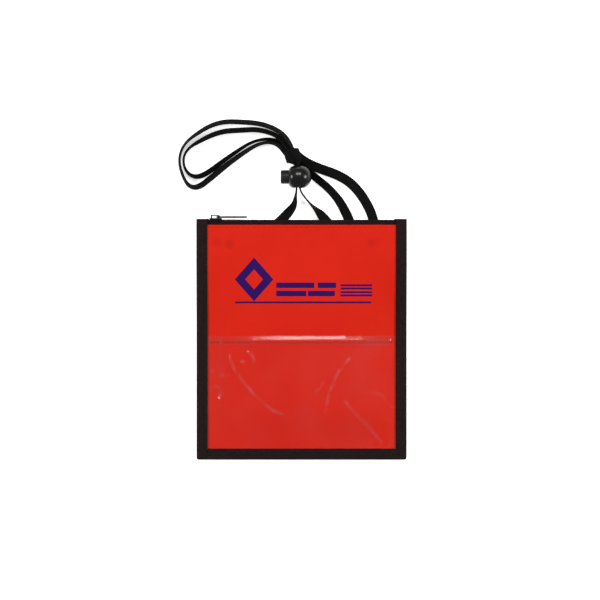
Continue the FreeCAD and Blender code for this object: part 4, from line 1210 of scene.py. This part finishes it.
# %% The button
profile = [(1.2, 0.0), (1.2, 3.9), (0.8, 4.33), (-4.5, 4.34), (-9.0, 4.32), (-11.3, 4.28), (-11.75, 4.16),
           (-12.02, 3.85), (-12.1, 3.5), (-12.05, 3.15), (-11.85, 2.6), (-11.7, 1.5), (-11.65, 0.0)]
button = turned(profile)
cut(button, lock_box(-5.3, 0.2, 12, 3.3))
settle(button, "cord_lock_button", satin, body="lock_button", stands_for=["cord_lock_plunger"],
       sharp=35)

# %% [markdown]
# The spring sits between the button's inner end and the bottom of the ball. Its wire is a ring of points
# carried along a helix and skinned, at the length of its CAD node. In use it squashes towards its fixed end
# when the button is pressed.

# %% The spring
steel = Finish("drawn_spring_wire", (0.50, 0.50, 0.51), 0.32, Metallic=1.0)
drawn = steel.clouds(0.0005)
steel.tint(drawn, (0.42, 0.42, 0.43), (0.58, 0.58, 0.59), drawn * 0.25 + 0.2)
spring_low, spring_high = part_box("cord_lock_spring")
WIRE, COIL = 0.175 * MM, 2.5 * MM  # radius of the wire and of its helix
PER_TURN, ROUND_WIRE = 24, 8
HELIX_STEPS = int(3.5 * PER_TURN)
points = []
for i in range(HELIX_STEPS + 1):
    angle = 2 * math.pi * i / PER_TURN
    out = Vector((0, math.cos(angle), math.sin(angle)))
    spot = LOCK + out * COIL
    spot.x = spring_low.x + WIRE + (spring_high.x - spring_low.x - 2 * WIRE) * i / HELIX_STEPS
    for k in range(ROUND_WIRE):
        angle = 2 * math.pi * k / ROUND_WIRE
        points.append(spot + (out * math.cos(angle) + Vector((math.sin(angle), 0, 0))) * WIRE)
ends = [tuple(range(ROUND_WIRE)), tuple(range(len(points) - ROUND_WIRE, len(points)))]
spring_mesh = mesh_piece("spring", points, skin(HELIX_STEPS + 1, ROUND_WIRE) + ends)
spring = face_outward(spring_mesh, weld=True)
settle(spring, "cord_lock_spring_wire", steel, body="cord_lock",
       stands_for=["cord_lock_spring"], sharp=60)
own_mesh(spring)

# %% [markdown]
# The knot is the same flat cord drawn tight round both strands. Two short stretches of ribbon cross over a
# soft core, so its outline has the shoulders and the slanting folds of a pulled knot.

# %% The knot
knot_low, knot_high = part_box("cord_knot")
KNOT = (knot_low + knot_high) / 2
WRAP_STEPS = 40
print("knot from", [round(v / MM, 1) for v in knot_low], "to", [round(v / MM, 1) for v in knot_high])
core = primitive("uv_sphere", segments=32, ring_count=20, radius=1, location=(0, 0, 0))
for vertex in core.data.vertices:
    v = vertex.co.copy()
    full = 1 / (abs(v.x) ** 3 + abs(v.y) ** 3 + abs(v.z) ** 3) ** (1 / 3) if v.length else 1
    lump = 1 + 0.06 * noise.noise(v * 1.6)
    swell = MM * (0.35 + 0.65 * full) * lump
    vertex.co = KNOT + Vector((v.x * 3.7 - v.y * 1.4, v.y * 4.1, v.z * 3.9)) * swell
face_outward(core, weld=True)
core_spots = [vertex.co / MM for vertex in core.data.vertices]
lay_map(core, lambda i: (core_spots[i].x + 0.3 * core_spots[i].y, core_spots[i].y + core_spots[i].z))


def wrap(name, slant, shift, reach, start_turn, end_turn):
    """A stretch of cord wound round the knot: slant tips its ring, shift moves it along the knot."""
    middle, edge = [], []
    for i in range(WRAP_STEPS + 1):
        turn = start_turn + (end_turn - start_turn) * i / WRAP_STEPS
        ring_x = math.cos(turn) * reach[0]
        ring = Vector((ring_x, slant * ring_x, math.sin(turn) * reach[1]))
        spot = KNOT / MM + Vector((-0.35 * shift, shift, 0)) + ring
        middle.append(spot * MM)
        lean_to = Vector((-slant, 1, 0.12 * math.sin(turn))).normalized()
        edge.append((spot + lean_to * 3.1) * MM)
    return ribbon(name, middle, edge)


wrap_a = wrap("wrap_a", 0.42, 1.7, (4.35, 4.5), -0.6, math.pi + 0.9)
wrap_b = wrap("wrap_b", -0.30, -1.9, (3.9, 4.2), -0.9, math.pi + 0.6)
knot = join(core, wrap_a, wrap_b)
for vertex in knot.data.vertices:
    for k in range(3):
        vertex.co[k] = min(max(vertex.co[k], knot_low[k] - 0.3 * MM), knot_high[k] + 0.3 * MM)
settle(knot, "cord_knot_wraps", cord_finish, stands_for=["cord_knot"], sharp=60)

# %% [markdown]
# Bar tacks are rows of tight zigzag sewing that hold the cord's ends to the back panel. One stitch is
# copied across the tack, turned left and right in turn.

# %% The bar tacks
for node in ("cord_tack_left", "cord_tack_right"):
    low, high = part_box(node)
    stitch_points, stitch_faces = one_stitch(2.3 * MM, 0.38 * MM)
    places = []
    for row in range(3):
        for k in range(15):
            spot = Vector((low.x + (high.x - low.x) * (k + 0.5) / 15,
                           low.y + (high.y - low.y) * (row + 0.5) / 3, low.z + 0.22 * MM))
            tilt = math.radians(78 if k % 2 else 102)
            turned_over = Matrix.Rotation(tilt, 4, "Z") @ Matrix.Rotation(math.pi, 4, "X")
            places.append(Matrix.Translation(spot) @ turned_over)
    tack = mesh_piece(node, *copies(stitch_points, stitch_faces, places))
    bed = plate((low.x / MM + 0.4, low.y / MM + 0.4, low.z / MM + 0.2),
                (high.x / MM - 0.4, high.y / MM - 0.4, high.z / MM), 0.3)
    tack = join(tack, bed)
    settle(tack, node + "_zigzag", red_thread, stands_for=[node], sharp=60)

# %% [markdown]
# The four stretches of cord add up to the whole cord. The length of each stretch's line is worked out.

# %% The cord's lengths
for piece, line, far_end, stuck_on in (
    (left_leg, left_line, "fitting", ["cord_lock_ball", "cord_lock_button", "cord_lock_spring_wire"]),
    (right_leg, right_line, "fitting", ["cord_lock_ball", "cord_lock_button"]),
    (outer_loop, outer_line, "object", ["cord_knot_wraps"]),
    (inner_loop, inner_line, "object", ["cord_knot_wraps", "cord_tack_right_zigzag"]),
):
    length_of(line)
